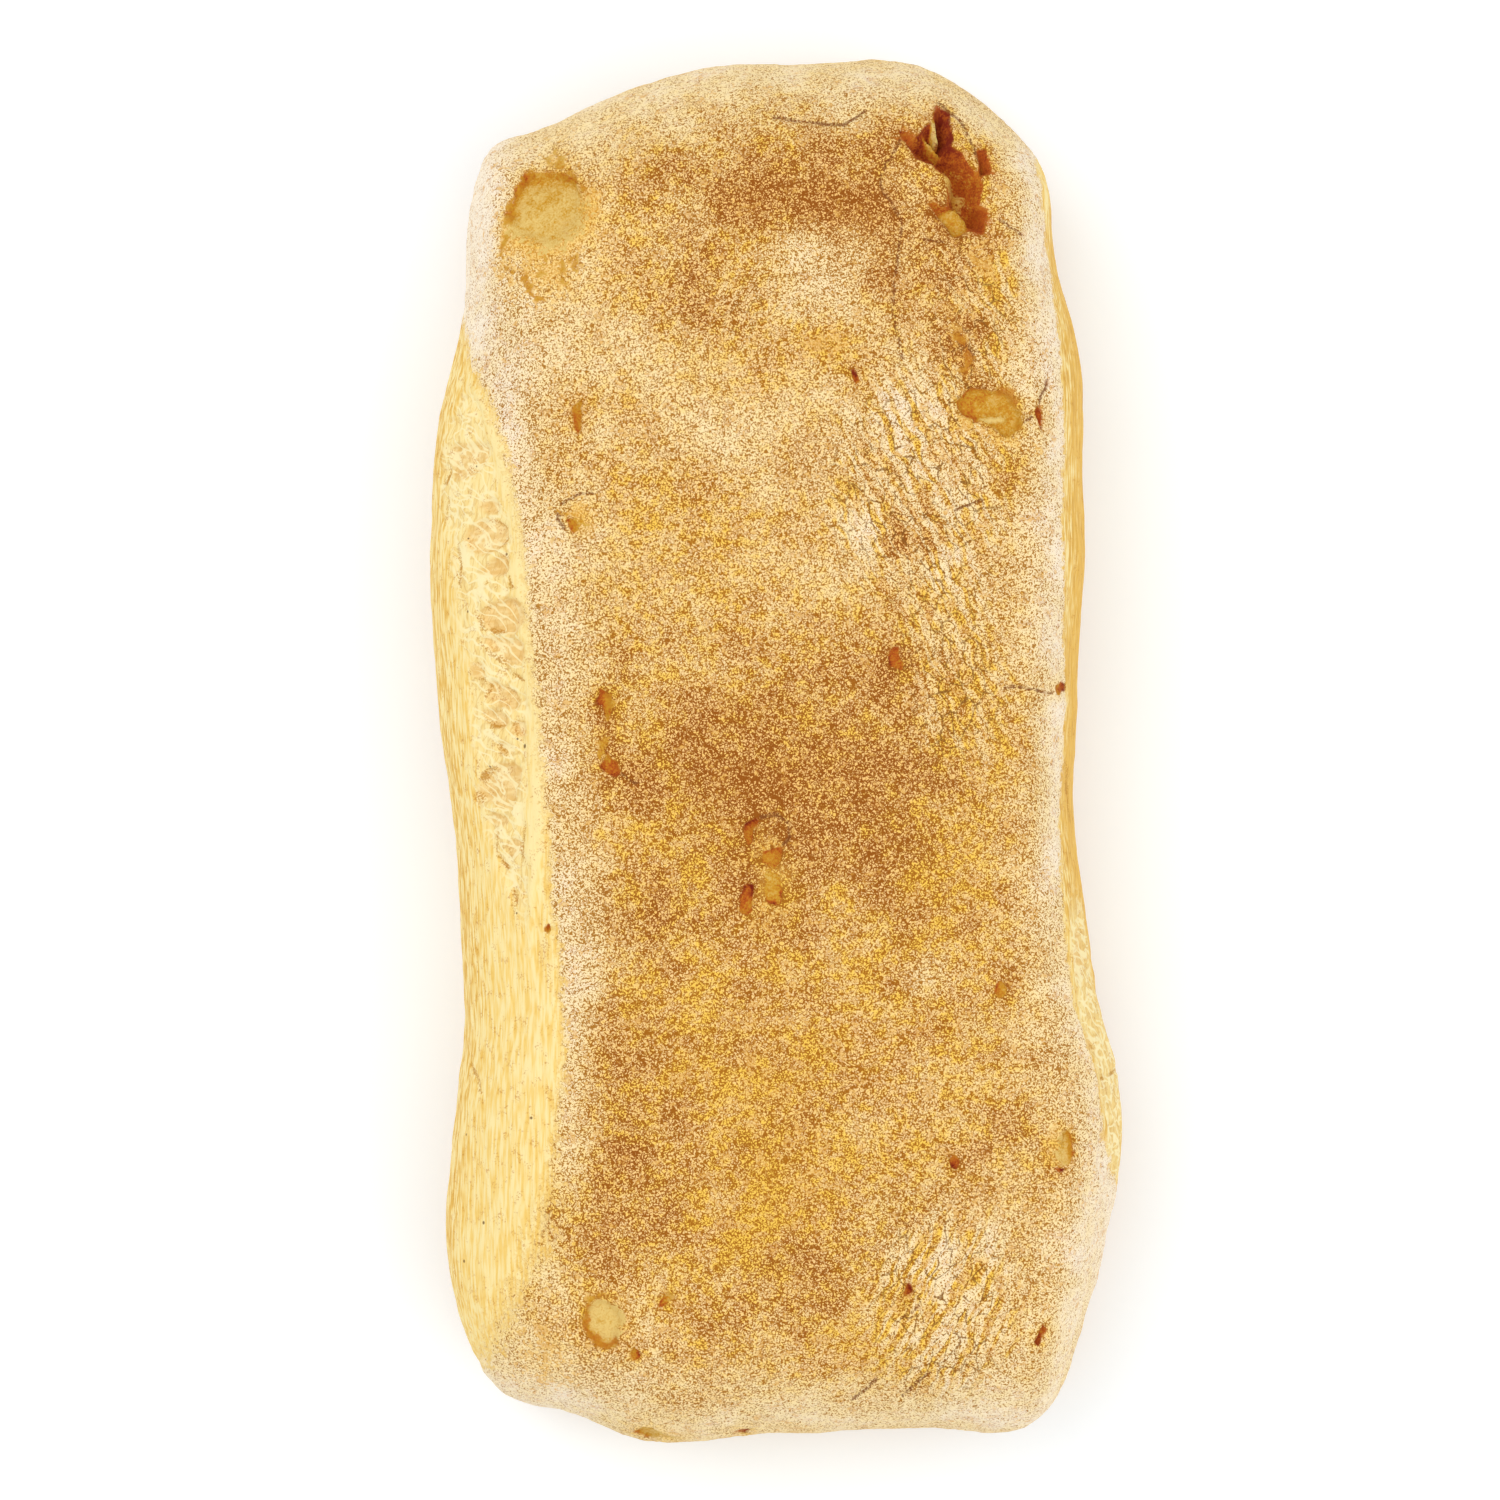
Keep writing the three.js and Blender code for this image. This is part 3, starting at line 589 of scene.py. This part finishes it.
# flaked bubbles: steep ragged rim and uneven floor, with the flakes that still stand in them;
# returns relief, depth inside the nearest rim, the floor's tone and where the rim is soft
def pitRelief(points):
    flat = points[:, :2] + pitForm["ragged"] * planNoise(points / 1.7, 41)
    high = points[:, 2] > loafForm["topFrom"]
    uneven = layered(points, [pitForm["uneven"]])
    broken = ease(0.5 + roughNoise(points / 1.5, 43))
    toothed = layered(points, [pitForm["tooth"]])
    relief = np.zeros(len(points))
    depth = np.full(len(points), -9.0)
    tone = np.zeros(len(points))
    softRim = np.zeros(len(points))
    for deep, light, darkSide, softness, outline in pits.values():
        near, middle, reach = nearTo(flat, high, outline)
        large = pitForm["toothFrom"] < deep < pitForm["toothTo"]
        inside = outlineDepth(flat[near], cornersCut(outline) if large else outline) + toothed[near] * large
        away = towards(flat[near], middle, reach, darkSide)
        soft = softness * ease((0.35 - away) / 0.7)
        slope = max(0.7, 0.45 * deep) + 4 * soft
        floor = deep * (1 + uneven[near]) * ease((inside + 0.2) / slope)
        curl = pitForm["curl"] * bell(inside + 0.55, 0.4)
        relief[near] = np.where(floor > 0.02, np.minimum(relief[near], -floor), relief[near] + curl)
        rimShade = ease((away + 0.15) / 0.7) * bell(np.maximum(inside, 0), 0.4 + 0.2 * deep)
        shade = light - (0.25 + 0.4 * broken[near]) * rimShade - 0.12 * ease((away + 0.4) / 1.2)
        tone[near] = np.where(inside > depth[near], shade, tone[near])
        softRim[near] = np.where(inside > depth[near], soft, softRim[near])
        depth[near] = np.maximum(depth[near], inside)
    for level, light, outline in flakes.values():
        near = nearTo(flat, high, outline)[0]
        inside = outlineDepth(flat[near], outline)
        part = ease((inside + 0.25) / 0.5)
        relief[near] += (-level - relief[near]) * part
        tone[near] += (light - tone[near]) * part
    return relief, depth, tone, softRim


# heights of the skin's relief, with lengths of the lumps and layers of noise as height, size and seed
skinForm = {
    "lump": 0.5, "lumpAcross": 6.5, "lumpAlong": 8.2,
    "grain": [(0.28, 7, 11), (0.1, 2.4, 13), (0.08, 1.1, 15)],
    "stretch": 0.2, "stretchLow": 0.15, "stretchSize": (1.5, 13, 1.5), "wallGrain": [(0.14, 5, 19)],
    "edge": 0.15, "wrinkle": 0.22, "crack": 0.4, "crackReach": 0.5, "scorch": 0.15,
}


# how far a group of plates shows, and the wrinkles it is drawn into: noise stretched along the plates
def plateRelief(points, group, seed):
    x, y, z = points.T
    shown = ease((patches(x, y, group["places"]) - 0.25) / 0.6) * ease((z - 34) / 6)
    cos, sin = np.cos(np.radians(group["turn"])), np.sin(np.radians(group["turn"]))
    wide, long = group["size"]
    grid = np.stack([(x * cos + y * sin) / wide, (y * cos - x * sin) / long], axis=1)
    return skinForm["wrinkle"] * shown * roughNoise(grid, seed), shown


# unevenness of the skin: broad lumps, crust grain on top, stretch marks along the bare wall
def skinRelief(points, bare):
    x, y, z = points.T
    form = skinForm
    waveAcross = np.sin(x / form["lumpAcross"] + 1.3 * np.sin(y / 17))
    waveAlong = np.sin(y / form["lumpAlong"] + 0.9 * np.sin(x / 11))
    lumps = form["lump"] * waveAcross * waveAlong
    grain = layered(points, form["grain"])
    drawn = form["stretch"] + form["stretchLow"] * ease((31 - z) / 7)
    stretched = points * (1 / np.array(form["stretchSize"]))
    marks = drawn * roughNoise(stretched, 17) + layered(points, form["wallGrain"])
    onWall = ease((bare + 1.5) / 3)
    edge = form["edge"] * bell(bare + 0.8, 1.4)
    return lumps + grain * (1 - onWall) + marks * onWall + edge


spots, faces = boxGrid(loafForm["stepsAcross"], loafForm["stepsAlong"], loafForm["stepsUp"])
body = loafPoints(spots)
normals = cornerNormals(body, faces)
bare = bareness(body)
x, y, z = body.T
leftRelief, leftZone, leftWindow, leftShadedCrevice, leftLipHighlight = burstRelief(body, "left", leftBurst)
rightRelief, rightZone, rightWindow, rightShadedCrevice, _ = burstRelief(body, "right", rightBurst)
holeRelief, pitDepth, pitTone, softRim = pitRelief(body)
crackFlat = body[:, :2] + 0.45 * planNoise(body / 3, 71)
crackGap = np.min([pathDistance(crackFlat, path) for path in cracks], axis=0)
crackRelief = -skinForm["crack"] * bell(crackGap, skinForm["crackReach"]) * ease((z - 30) / 6)
scorchFlat = body[:, :2] + 0.7 * planNoise(body / 1.6, 61)
scorch, scorchTone = np.zeros(len(body)), np.zeros(len(body))
for reach, light, path in scorched:
    near = nearTo(scorchFlat, z > loafForm["topFrom"], path)[0]
    amount = bell(pathDistance(scorchFlat[near], path), reach)
    scorchTone[near] = np.where(amount > scorch[near], light, scorchTone[near])
    scorch[near] = np.maximum(scorch[near], amount)
plateSkin = {name: plateRelief(body, group, 91) for name, group in plates.items()}
wrinkles = sum(rise for rise, shown in plateSkin.values())
broken = leftRelief + rightRelief + crackRelief - skinForm["scorch"] * scorch + wrinkles + holeRelief
relief = skinRelief(body, bare) * ease((z - 1) / 8) * (1 - 0.6 * ease(pitDepth))
relief = relief + broken * ease((z - 0.5) / 14)
skin = body + relief[:, None] * normals
skin[:, 2] = np.maximum(skin[:, 2], 0)
middle = (skin[:, :2].min(0) + skin[:, :2].max(0)) / 2
skin[:, :2] -= middle
print("loaf surface worked out", len(skin), "points, moved by", middle)

# how flour and gold lie: heights and lengths where they set in, amounts, layers of noise as before
dusting = {
    "wallBelow": 36, "wallOver": 14, "wall": [(1.3, 11, 35), (0.8, 4, 37)], "mottleSize": (8, 14, 6),
    "rimReach": 5, "rimRight": 2.3, "softFrom": 76, "softOver": 16, "crispRight": 1.5,
    "ends": 0.4, "endsFrom": 118, "endsOver": 16, "edge": 0.7, "edgeReach": 7, "steep": 0.25,
    "toast": [(0.2, 18, 81), (0.15, 7, 83)], "flour": [(0.2, 9, 85)], "bakedBelow": 22,
}
onRight = x > 0

# below the shoulders the flour ends in a ragged edge and lies on the wall in thin patches
upright = ease((dusting["wallBelow"] - z) / dusting["wallOver"])
dusted = np.clip(bare / 5, -2.2, 0.9) + layered(body, dusting["wall"])
mottle = 0.5 + 0.5 * roughNoise(body / np.array(dusting["mottleSize"]), 39) + 0.4 * onRight
rim = bell(insetFrom("left", x, y), dusting["rimReach"])
rim = rim + dusting["rimRight"] * bell(insetFrom("right", x, y), dusting["rimReach"])

# flour lies at the edges, the ends and the steep places, and is baked away where the crust is toasted
softEdge = ease((-y - dusting["softFrom"]) / dusting["softOver"]) * (x < 0)
crisp = 1 - 0.7 * softEdge + dusting["crispRight"] * onRight
browned = patches(x, y, toasted)
steep = ease((0.9 - normals[:, 2]) / 0.45)
edgeFlour = dusting["edge"] * bell(np.minimum(bare, 0), dusting["edgeReach"]) * (1 - 0.8 * softEdge)
endFlour = dusting["ends"] * ease((np.abs(y) - dusting["endsFrom"]) / dusting["endsOver"])
flour = patches(x, y, floured) - 0.25 * browned + edgeFlour + dusting["steep"] * steep + endFlour
flour = flour + layered(body, dusting["flour"]) - 0.4 * bell(np.minimum(pitDepth, 0), 1.6)

# marks that the crust's finish reads: distances in millimetres, amounts from -1 to 1; lip places a painted
# highlight and shadedCrevice places painted shade
marks = {
    "bare": bare * crisp * (1 - upright) + dusted * upright, "upright": upright, "steep": steep,
    "toast": browned + layered(body, dusting["toast"]), "flour": flour, "gild": patches(x, y, gilded),
    "pit": pitDepth, "tone": pitTone, "soft": softRim, "crack": crackGap,
    "scorch": scorch, "scorchTone": scorchTone, "lip": leftLipHighlight, "burst": leftZone + rightZone,
    "window": leftWindow + rightWindow, "shadedCrevice": leftShadedCrevice + rightShadedCrevice,
    "rim": rim * (1 - upright) + mottle * upright, "low": ease(1 - z / dusting["bakedBelow"]),
    **{name: shown for name, (rise, shown) in plateSkin.items()},
}
poreSpots = []
for px, py, radius in pores:
    away = np.hypot(x - px, y - py) + 99 * (z < loafForm["topFrom"])
    poreSpots.append((skin[np.argmin(away)], radius))


# a mesh object from points in millimetres and four-sided faces
def meshObject(name, points, quads):
    mesh = bpy.data.meshes.new(name)
    mesh.vertices.add(len(points))
    mesh.vertices.foreach_set("co", (points * mm).astype(np.float32).ravel())
    mesh.loops.add(quads.size)
    mesh.loops.foreach_set("vertex_index", quads.astype(np.int32).ravel())
    mesh.polygons.add(len(quads))
    mesh.polygons.foreach_set("loop_start", np.arange(0, quads.size, 4, dtype=np.int32))
    mesh.update(calc_edges=True)
    mesh.polygons.foreach_set("use_smooth", np.ones(len(quads), bool))
    made = bpy.data.objects.new(name, mesh)
    bpy.context.collection.objects.link(made)
    return made


loaf = meshObject("loafCrust", skin, faces)
for name, values in marks.items():
    layer = loaf.data.attributes.new(name, "FLOAT", "POINT")
    layer.data.foreach_set("value", values.astype(np.float32))
thin = loaf.modifiers.new("thin", "DECIMATE")
thin.ratio = loafForm["triangles"] / (2 * len(faces))
depsgraph = bpy.context.evaluated_depsgraph_get()
thinned = bpy.data.meshes.new_from_object(loaf.evaluated_get(depsgraph))
loaf.modifiers.clear()
loaf.data = thinned
print("loaf mesh", len(thinned.polygons), "faces")


# a colour given as the eye sees it, 0 to 255, turned to the light it stands for
def tint(red, green, blue):
    shown = np.array([red, green, blue]) / 255
    light = np.where(shown <= 0.04045, shown / 12.92, ((shown + 0.055) / 1.055) ** 2.4)
    return (*light.tolist(), 1)


# a node with its settings, its inputs linked where they are sockets and set where they are values
def addNode(tree, kind, inputs=None, **settings):
    made = tree.nodes.new(kind)
    for key, value in settings.items():
        setattr(made, key, value)
    for key, value in (inputs or {}).items():
        if isinstance(value, bpy.types.NodeSocket):
            tree.links.new(value, made.inputs[key])
        else:
            made.inputs[key].default_value = value
    return made


loafFinish = {
    "flourWhite": tint(254, 239, 215), "flourCream": tint(253, 228, 172),
    "crustGold": tint(250, 204, 84), "crustTan": tint(250, 213, 148), "crustRust": tint(246, 192, 112),
    "netFlour": tint(176, 120, 42), "netGold": tint(174, 110, 16), "netBrown": tint(151, 83, 8),
    "splitBrown": tint(132, 84, 28), "crack": tint(126, 70, 26),
    "halo": tint(246, 206, 116), "haloBrown": tint(222, 160, 58),
    "wallPale": tint(252, 231, 166), "wallYellow": tint(247, 210, 120), "wallGold": tint(233, 182, 74),
    "windowPeach": tint(248, 218, 154), "windowShade": tint(234, 192, 118), "shadedCrevice": tint(196, 138, 46),
    "strand": tint(254, 238, 184), "furrow": tint(214, 164, 80), "poreShade": tint(104, 66, 22),
    "pitTones": [tint(126, 34, 8), tint(184, 90, 20), tint(204, 150, 38), tint(230, 198, 118)],
    "baseBrown": tint(200, 140, 70), "roughness": 0.88, "specular": 0.25,
    "grains": 1850, "fine": 2600, "clumps": 420, "blotches": 110,     # how many to a metre
    "grainPush": (1300, 0.9), "platePush": (260, 2.2),         # noise that shifts them: scale, reach
    "streakSize": (0.65, 6, 0.6), "foldSize": (3, 20, 5), "fibreTurn": 8, "fibreSize": (6, 1, 3),
    "strandTurn": -32, "strandSize": (9, 2, 4), "furrowTurn": 74, "furrowSize": (6, 1.3, 3),
    "bump": 0.45, "bumpDepth": 0.4,            # sizes and depth in millimetres
}


def loafMaterial():
    finish = loafFinish
    material = bpy.data.materials.new("flouredCrust")
    material.use_nodes = True
    tree = material.node_tree
    tree.nodes.clear()
    place = addNode(tree, "ShaderNodeTexCoord").outputs["Object"]

    def mark(name):
        return addNode(tree, "ShaderNodeAttribute", attribute_name=name).outputs["Fac"]

    def noise(scale, detail=2.0, rough=0.6, where=None, result="Fac", flat=False):
        inputs = {"Vector": where or place, "Scale": scale, "Detail": detail, "Roughness": rough}
        made = addNode(tree, "ShaderNodeTexNoise", inputs, noise_dimensions="2D" if flat else "3D")
        return made.outputs[result]

    def calc(operation, first, second=0.0):
        return addNode(tree, "ShaderNodeMath", {0: first, 1: second}, operation=operation).outputs[0]

    # sum of values, each times its amount
    def mixed(*terms):
        total = calc("MULTIPLY", *terms[0])
        for value, amount in terms[1:]:
            total = calc("ADD", total, calc("MULTIPLY", value, amount))
        return total

    # a value between low and high, eased into another range
    def span(value, low, high, toLow=0.0, toHigh=1.0):
        inputs = {"Value": value, "From Min": low, "From Max": high, "To Min": toLow, "To Max": toHigh}
        return addNode(tree, "ShaderNodeMapRange", inputs, interpolation_type="SMOOTHSTEP").outputs["Result"]

    def blend(amount, first, second):
        return addNode(tree, "ShaderNodeMix", {0: amount, 6: first, 7: second}, data_type="RGBA").outputs[2]

    # coordinates turned about the upright axis and measured in cells of a size in millimetres
    def cellsOf(where, turn, size):
        sides = [side * mm for side in size]
        inputs = {"Vector": where, "Rotation": (0, 0, np.radians(turn)), "Scale": sides}
        return addNode(tree, "ShaderNodeMapping", inputs, vector_type="TEXTURE").outputs["Vector"]

    def reckon(operation, first, second, result="Vector"):
        made = addNode(tree, "ShaderNodeVectorMath", {0: first, 1: second}, operation=operation)
        return made.outputs[result]

    # coordinates shifted by noise of a scale, as far as a reach in millimetres
    def pushedBy(scale, reach):
        push = reckon("MULTIPLY", noise(scale, 0, 0.5, None, "Color"), (reach * mm,) * 3)
        return reckon("ADD", place, push)

    # noise spread about zero, from -0.5 to 0.5
    def centred(value):
        return span(value, 0.3, 0.7, -0.5, 0.5)

    # colours of the bubbles, from dark red to pale gold
    def toned(tone):
        ramp = addNode(tree, "ShaderNodeValToRGB", {0: calc("ADD", tone, 0.333)})
        for spot in (0.333, 0.667):
            ramp.color_ramp.elements.new(spot)
        for element, colourStop in zip(ramp.color_ramp.elements, finish["pitTones"]):
            element.color = colourStop
        return ramp.outputs["Color"]

    # lines where a noise field crosses its middle value
    def creases(where, width, strength):
        field = noise(1.0, 1, 0.5, where)
        return span(calc("ABSOLUTE", calc("SUBTRACT", field, 0.5)), width * 0.25, width, strength, 0)

    # noise of three sizes; specks, clumps and blotches are spread about zero
    fine = noise(finish["fine"], 1, 0.6)
    clump = noise(finish["clumps"], 2, 0.65)
    specks, clumps = centred(fine), centred(clump)
    blotches = centred(noise(finish["blotches"], 2, 0.6))

    # grains: scattered cells pushed about by noise, each with its own shade, and the gaps between them
    cells = {"Vector": pushedBy(*finish["grainPush"]), "Scale": finish["grains"]}
    nearest, second = (addNode(tree, "ShaderNodeTexVoronoi", cells, feature=kind) for kind in ("F1", "F2"))
    shade = addNode(tree, "ShaderNodeSeparateColor", {0: nearest.outputs["Color"]}).outputs[0]
    shades = calc("SUBTRACT", shade, 0.5)
    toast = mixed((mark("toast"), 1.0), (blotches, 0.45), (clumps, 0.15))
    flour = mixed((mark("flour"), 1.0), (clumps, 0.45), (blotches, -0.4))

    # plates: flour drawn thin along the wrinkles, and fine splits between the plates
    splits = plated = 0.0
    wavy = pushedBy(*finish["platePush"])
    for name, group in plates.items():
        wide, long = group["size"]
        shown = mark(name)
        cells = {"Vector": cellsOf(wavy, group["turn"], (wide, long, wide)), "Scale": 1.0}
        gaps = addNode(tree, "ShaderNodeTexVoronoi", cells, feature="DISTANCE_TO_EDGE",
                       voronoi_dimensions="2D")
        ragged = mixed((gaps.outputs["Distance"], 1.0), (specks, 0.05), (clumps, 0.08))
        splits = calc("MAXIMUM", calc("MULTIPLY", span(ragged, 0.0, 0.065, 1, 0), shown), splits)
        thinned = cellsOf(wavy, group["turn"], (wide * 0.7, long * 3, wide))
        streaks = noise(1.0, 1, 0.6, thinned, flat=True)
        flour = calc("ADD", flour, calc("MULTIPLY", span(streaks, 0.36, 0.6, -0.7, 0.35), shown))
        plated = calc("MAXIMUM", shown, plated)

    # crust: gold to cream by the flour on it, its grains lying in a net of browner gaps
    pale = span(flour, -0.35, 0.6)
    tan = mixed((clumps, 0.8), (blotches, 0.6), (toast, 0.25))
    gold = blend(span(tan, -0.45, 0.55), finish["crustGold"], finish["crustTan"])
    gold = blend(span(toast, 0.1, 1.0, 0, 0.85), gold, finish["crustRust"])
    cream = blend(span(flour, 0.4, 1.6), finish["flourCream"], finish["flourWhite"])
    net = blend(span(toast, -0.2, 0.8), finish["netGold"], finish["netBrown"])
    covered = mixed((second.outputs["Distance"], 1.0), (nearest.outputs["Distance"], -1.15), (specks, 0.4),
                    (shades, 0.2), (toast, -0.1), (flour, 0.11), (plated, 0.04), (mark("steep"), 0.09))
    gap = span(covered, 0.0, 0.2, 1.0, 0)
    top = blend(gap, blend(pale, gold, cream), blend(pale, net, finish["netFlour"]))
    top = blend(calc("MULTIPLY", splits, 0.8), top, finish["splitBrown"])
    gilt = mixed((mark("gild"), 1.0), (clumps, 0.8), (shades, 0.9))
    halo = blend(span(fine, 0.38, 0.62), finish["haloBrown"], finish["halo"])
    top = blend(span(gilt, 0.2, 0.9, 0, 0.75), top, halo)

    # bare wall: pale yellow, streaked along the loaf, deeper gold towards its outline
    streak = noise(1.0, 1, 0.6, cellsOf(place, 0, finish["streakSize"]))
    wall = blend(span(streak, 0.34, 0.66), finish["wallYellow"], finish["wallPale"])
    plain = span(mark("upright"), 0, 1, 1, 0.35)
    goldStreak = calc("MULTIPLY", centred(streak), plain)
    goldRim = mixed((mark("rim"), 0.5), (clumps, 0.3), (goldStreak, -0.8))
    wall = blend(span(goldRim, 0.15, 0.9, 0, 0.85), wall, finish["wallGold"])

    # brown streaks towards its outline, and soft folds where it is upright
    brownStreak = calc("MULTIPLY", span(streak, 0.3, 0.52, 0.75, 0), plain)
    wall = blend(calc("MULTIPLY", brownStreak, span(mark("rim"), 0.3, 1.3)), wall, finish["furrow"])
    fold = creases(cellsOf(place, 0, finish["foldSize"]), 0.03, 0.4)
    wall = blend(calc("MULTIPLY", fold, mark("upright")), wall, finish["furrow"])

    # burst shoulders: peach windows, fibres across them, pale strands, a painted highlight on the lip and
    # painted shade in the crevices
    fibre = noise(1.0, 1, 0.65, cellsOf(place, finish["fibreTurn"], finish["fibreSize"]))
    fibres = span(mixed((fibre, 0.6), (clump, 0.4)), 0.4, 0.62)
    floor = blend(fibres, finish["windowShade"], finish["windowPeach"])
    # the band paler, and a painted highlight along the lip
    paleBandAndLipHighlight = calc("MAXIMUM", span(mark("burst"), 0.2, 0.8, 0, 0.5), mark("lip"))
    wall = blend(paleBandAndLipHighlight, wall, finish["wallPale"])
    wall = blend(calc("MULTIPLY", mark("window"), 0.85), wall, floor)
    furrow = creases(cellsOf(wavy, finish["furrowTurn"], finish["furrowSize"]), 0.05, 0.4)
    wall = blend(calc("MULTIPLY", furrow, mark("burst")), wall, finish["furrow"])
    strand = creases(cellsOf(wavy, finish["strandTurn"], finish["strandSize"]), 0.07, 0.9)
    wall = blend(calc("MULTIPLY", strand, mark("burst")), wall, finish["strand"])
    # painted shade in the tears and on the windows' darker rims
    paintedCreviceShade = mixed((mark("shadedCrevice"), 1.0), (specks, 0.5))
    wall = blend(span(paintedCreviceShade, 0.35, 0.9, 0, 0.85), wall, finish["shadedCrevice"])

    # crust fades into the wall through thinning flour, with a gold seam where it ends
    fade = mixed((mark("bare"), 1.0), (clumps, 1.8), (shades, 1.2))
    seam = calc("MULTIPLY", span(fade, -0.4, 0.5), span(fade, 0.5, 1.5, 0.4, 0))
    wall = blend(seam, wall, finish["wallGold"])
    colour = blend(span(fade, -1.0, 1.0), top, wall)

    # darker heel, and dots of painted shade for the pin-prick pores
    baked = mixed((mark("low"), 1.0), (clumps, 0.3), (blotches, 0.3))
    colour = blend(span(baked, 0.15, 1.1, 0, 0.8), colour, finish["baseBrown"])
    poreShade = 9.0
    for spot, radius in poreSpots:
        away = reckon("DISTANCE", place, spot * mm, "Value")
        poreShade = calc("MINIMUM", calc("DIVIDE", away, radius * mm), poreShade)
    colour = blend(span(poreShade, 0.6, 1.4, 0.85, 0), colour, finish["poreShade"])

    # cracks, peeled crust about the soft rims, toned floors of the bubbles and scorched skin
    crackLine = mixed((mark("crack"), 1.0), (specks, 0.25))
    colour = blend(span(crackLine, 0.12, 0.48, 0.85, 0), colour, finish["crack"])
    peeled = span(mixed((mark("pit"), 1.0), (clumps, 1.5)), -3.5, -0.5, 0, 0.6)
    colour = blend(calc("MULTIPLY", peeled, mark("soft")), colour, halo)
    ragged = calc("MULTIPLY", mark("soft"), mixed((shades, 3.0), (clumps, 2.5)))
    inPit = mixed((mark("pit"), 1.0), (specks, 0.22), (ragged, 1.0), (mark("soft"), -0.6))
    tone = mixed((mark("tone"), 0.667), (clumps, 0.22), (specks, 0.2), (shades, 0.16))
    colour = blend(span(inPit, -0.18, 0.16), colour, toned(tone))
    torn = mixed((mark("scorch"), 1.0), (specks, 0.5), (clumps, 0.7))
    tornTone = mixed((mark("scorchTone"), 0.667), (specks, 0.12), (clumps, 0.15))
    colour = blend(span(torn, 0.25, 0.8, 0, 0.9), colour, toned(tornTone))

    # grains and streaks stand up a little
    onWall = span(mark("bare"), -0.5, 1.5)
    height = addNode(tree, "ShaderNodeMix", {0: onWall, 2: fine, 3: streak}, data_type="FLOAT").outputs[0]
    raised = {"Strength": finish["bump"], "Distance": finish["bumpDepth"] * mm, "Height": height}
    normal = addNode(tree, "ShaderNodeBump", raised).outputs["Normal"]
    shader = addNode(tree, "ShaderNodeBsdfPrincipled", {"Base Color": colour, "Normal": normal})
    shader.inputs["Roughness"].default_value = finish["roughness"]
    shader.inputs["Specular IOR Level"].default_value = finish["specular"]
    output = addNode(tree, "ShaderNodeOutputMaterial")
    tree.links.new(shader.outputs["BSDF"], output.inputs["Surface"])
    return material


loaf.data.materials.append(loafMaterial())
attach(loaf, "root")
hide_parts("loaf")
print("loaf finished")

# pale table, soft light from all round and above, camera straight down; lamps and camera are in metres
studio = {
    "floorWidth": 4000, "floorColour": tint(246, 251, 255), "floorGlow": 0.14, "floorRoughness": 0.9,
    "sky": 0.68, "skyColour": (1.0, 0.995, 0.985),
    "key": (-0.7, 0.5, 1.5, 1.2, 9.2), "fill": (0.9, -0.5, 1.3, 1.6, 8),   # lamps: place, size and power
    "cameraHeight": 1.3, "cameraX": -0.00535, "cameraY": 0.00015, "lens": 150, "sensor": 36,
}
corners = np.array([(-1, -1, 0), (1, -1, 0), (1, 1, 0), (-1, 1, 0)]) * studio["floorWidth"] / 2
floor = meshObject("table", corners, np.array([[0, 1, 2, 3]]))
floorPaint = bpy.data.materials.new("paleTable")
floorPaint.use_nodes = True
floorShader = floorPaint.node_tree.nodes["Principled BSDF"]
floorShader.inputs["Base Color"].default_value = studio["floorColour"]
floorShader.inputs["Roughness"].default_value = studio["floorRoughness"]
floorShader.inputs["Emission Color"].default_value = studio["floorColour"]
floorShader.inputs["Emission Strength"].default_value = studio["floorGlow"]
floor.data.materials.append(floorPaint)

world = bpy.data.worlds.new("softRoom")
world.use_nodes = True
world.node_tree.nodes["Background"].inputs["Color"].default_value = (*studio["skyColour"], 1)
world.node_tree.nodes["Background"].inputs["Strength"].default_value = studio["sky"]
bpy.context.scene.world = world

for name in ("key", "fill"):
    px, py, pz, size, power = studio[name]
    lamp = bpy.data.lights.new(name, "AREA")
    lamp.size = size
    lamp.energy = power
    lampObject = bpy.data.objects.new(name, lamp)
    lampObject.location = (px, py, pz)
    lampObject.rotation_euler = (-lampObject.location).to_track_quat("-Z", "Y").to_euler()
    bpy.context.collection.objects.link(lampObject)

camera = bpy.data.cameras.new("camera")
camera.lens = studio["lens"]
camera.sensor_width = studio["sensor"]
cameraObject = bpy.data.objects.new("camera", camera)
cameraObject.location = (studio["cameraX"], studio["cameraY"], studio["cameraHeight"])
bpy.context.collection.objects.link(cameraObject)
bpy.context.scene.camera = cameraObject
bpy.context.scene.view_settings.view_transform = "Standard"
print("studio set")
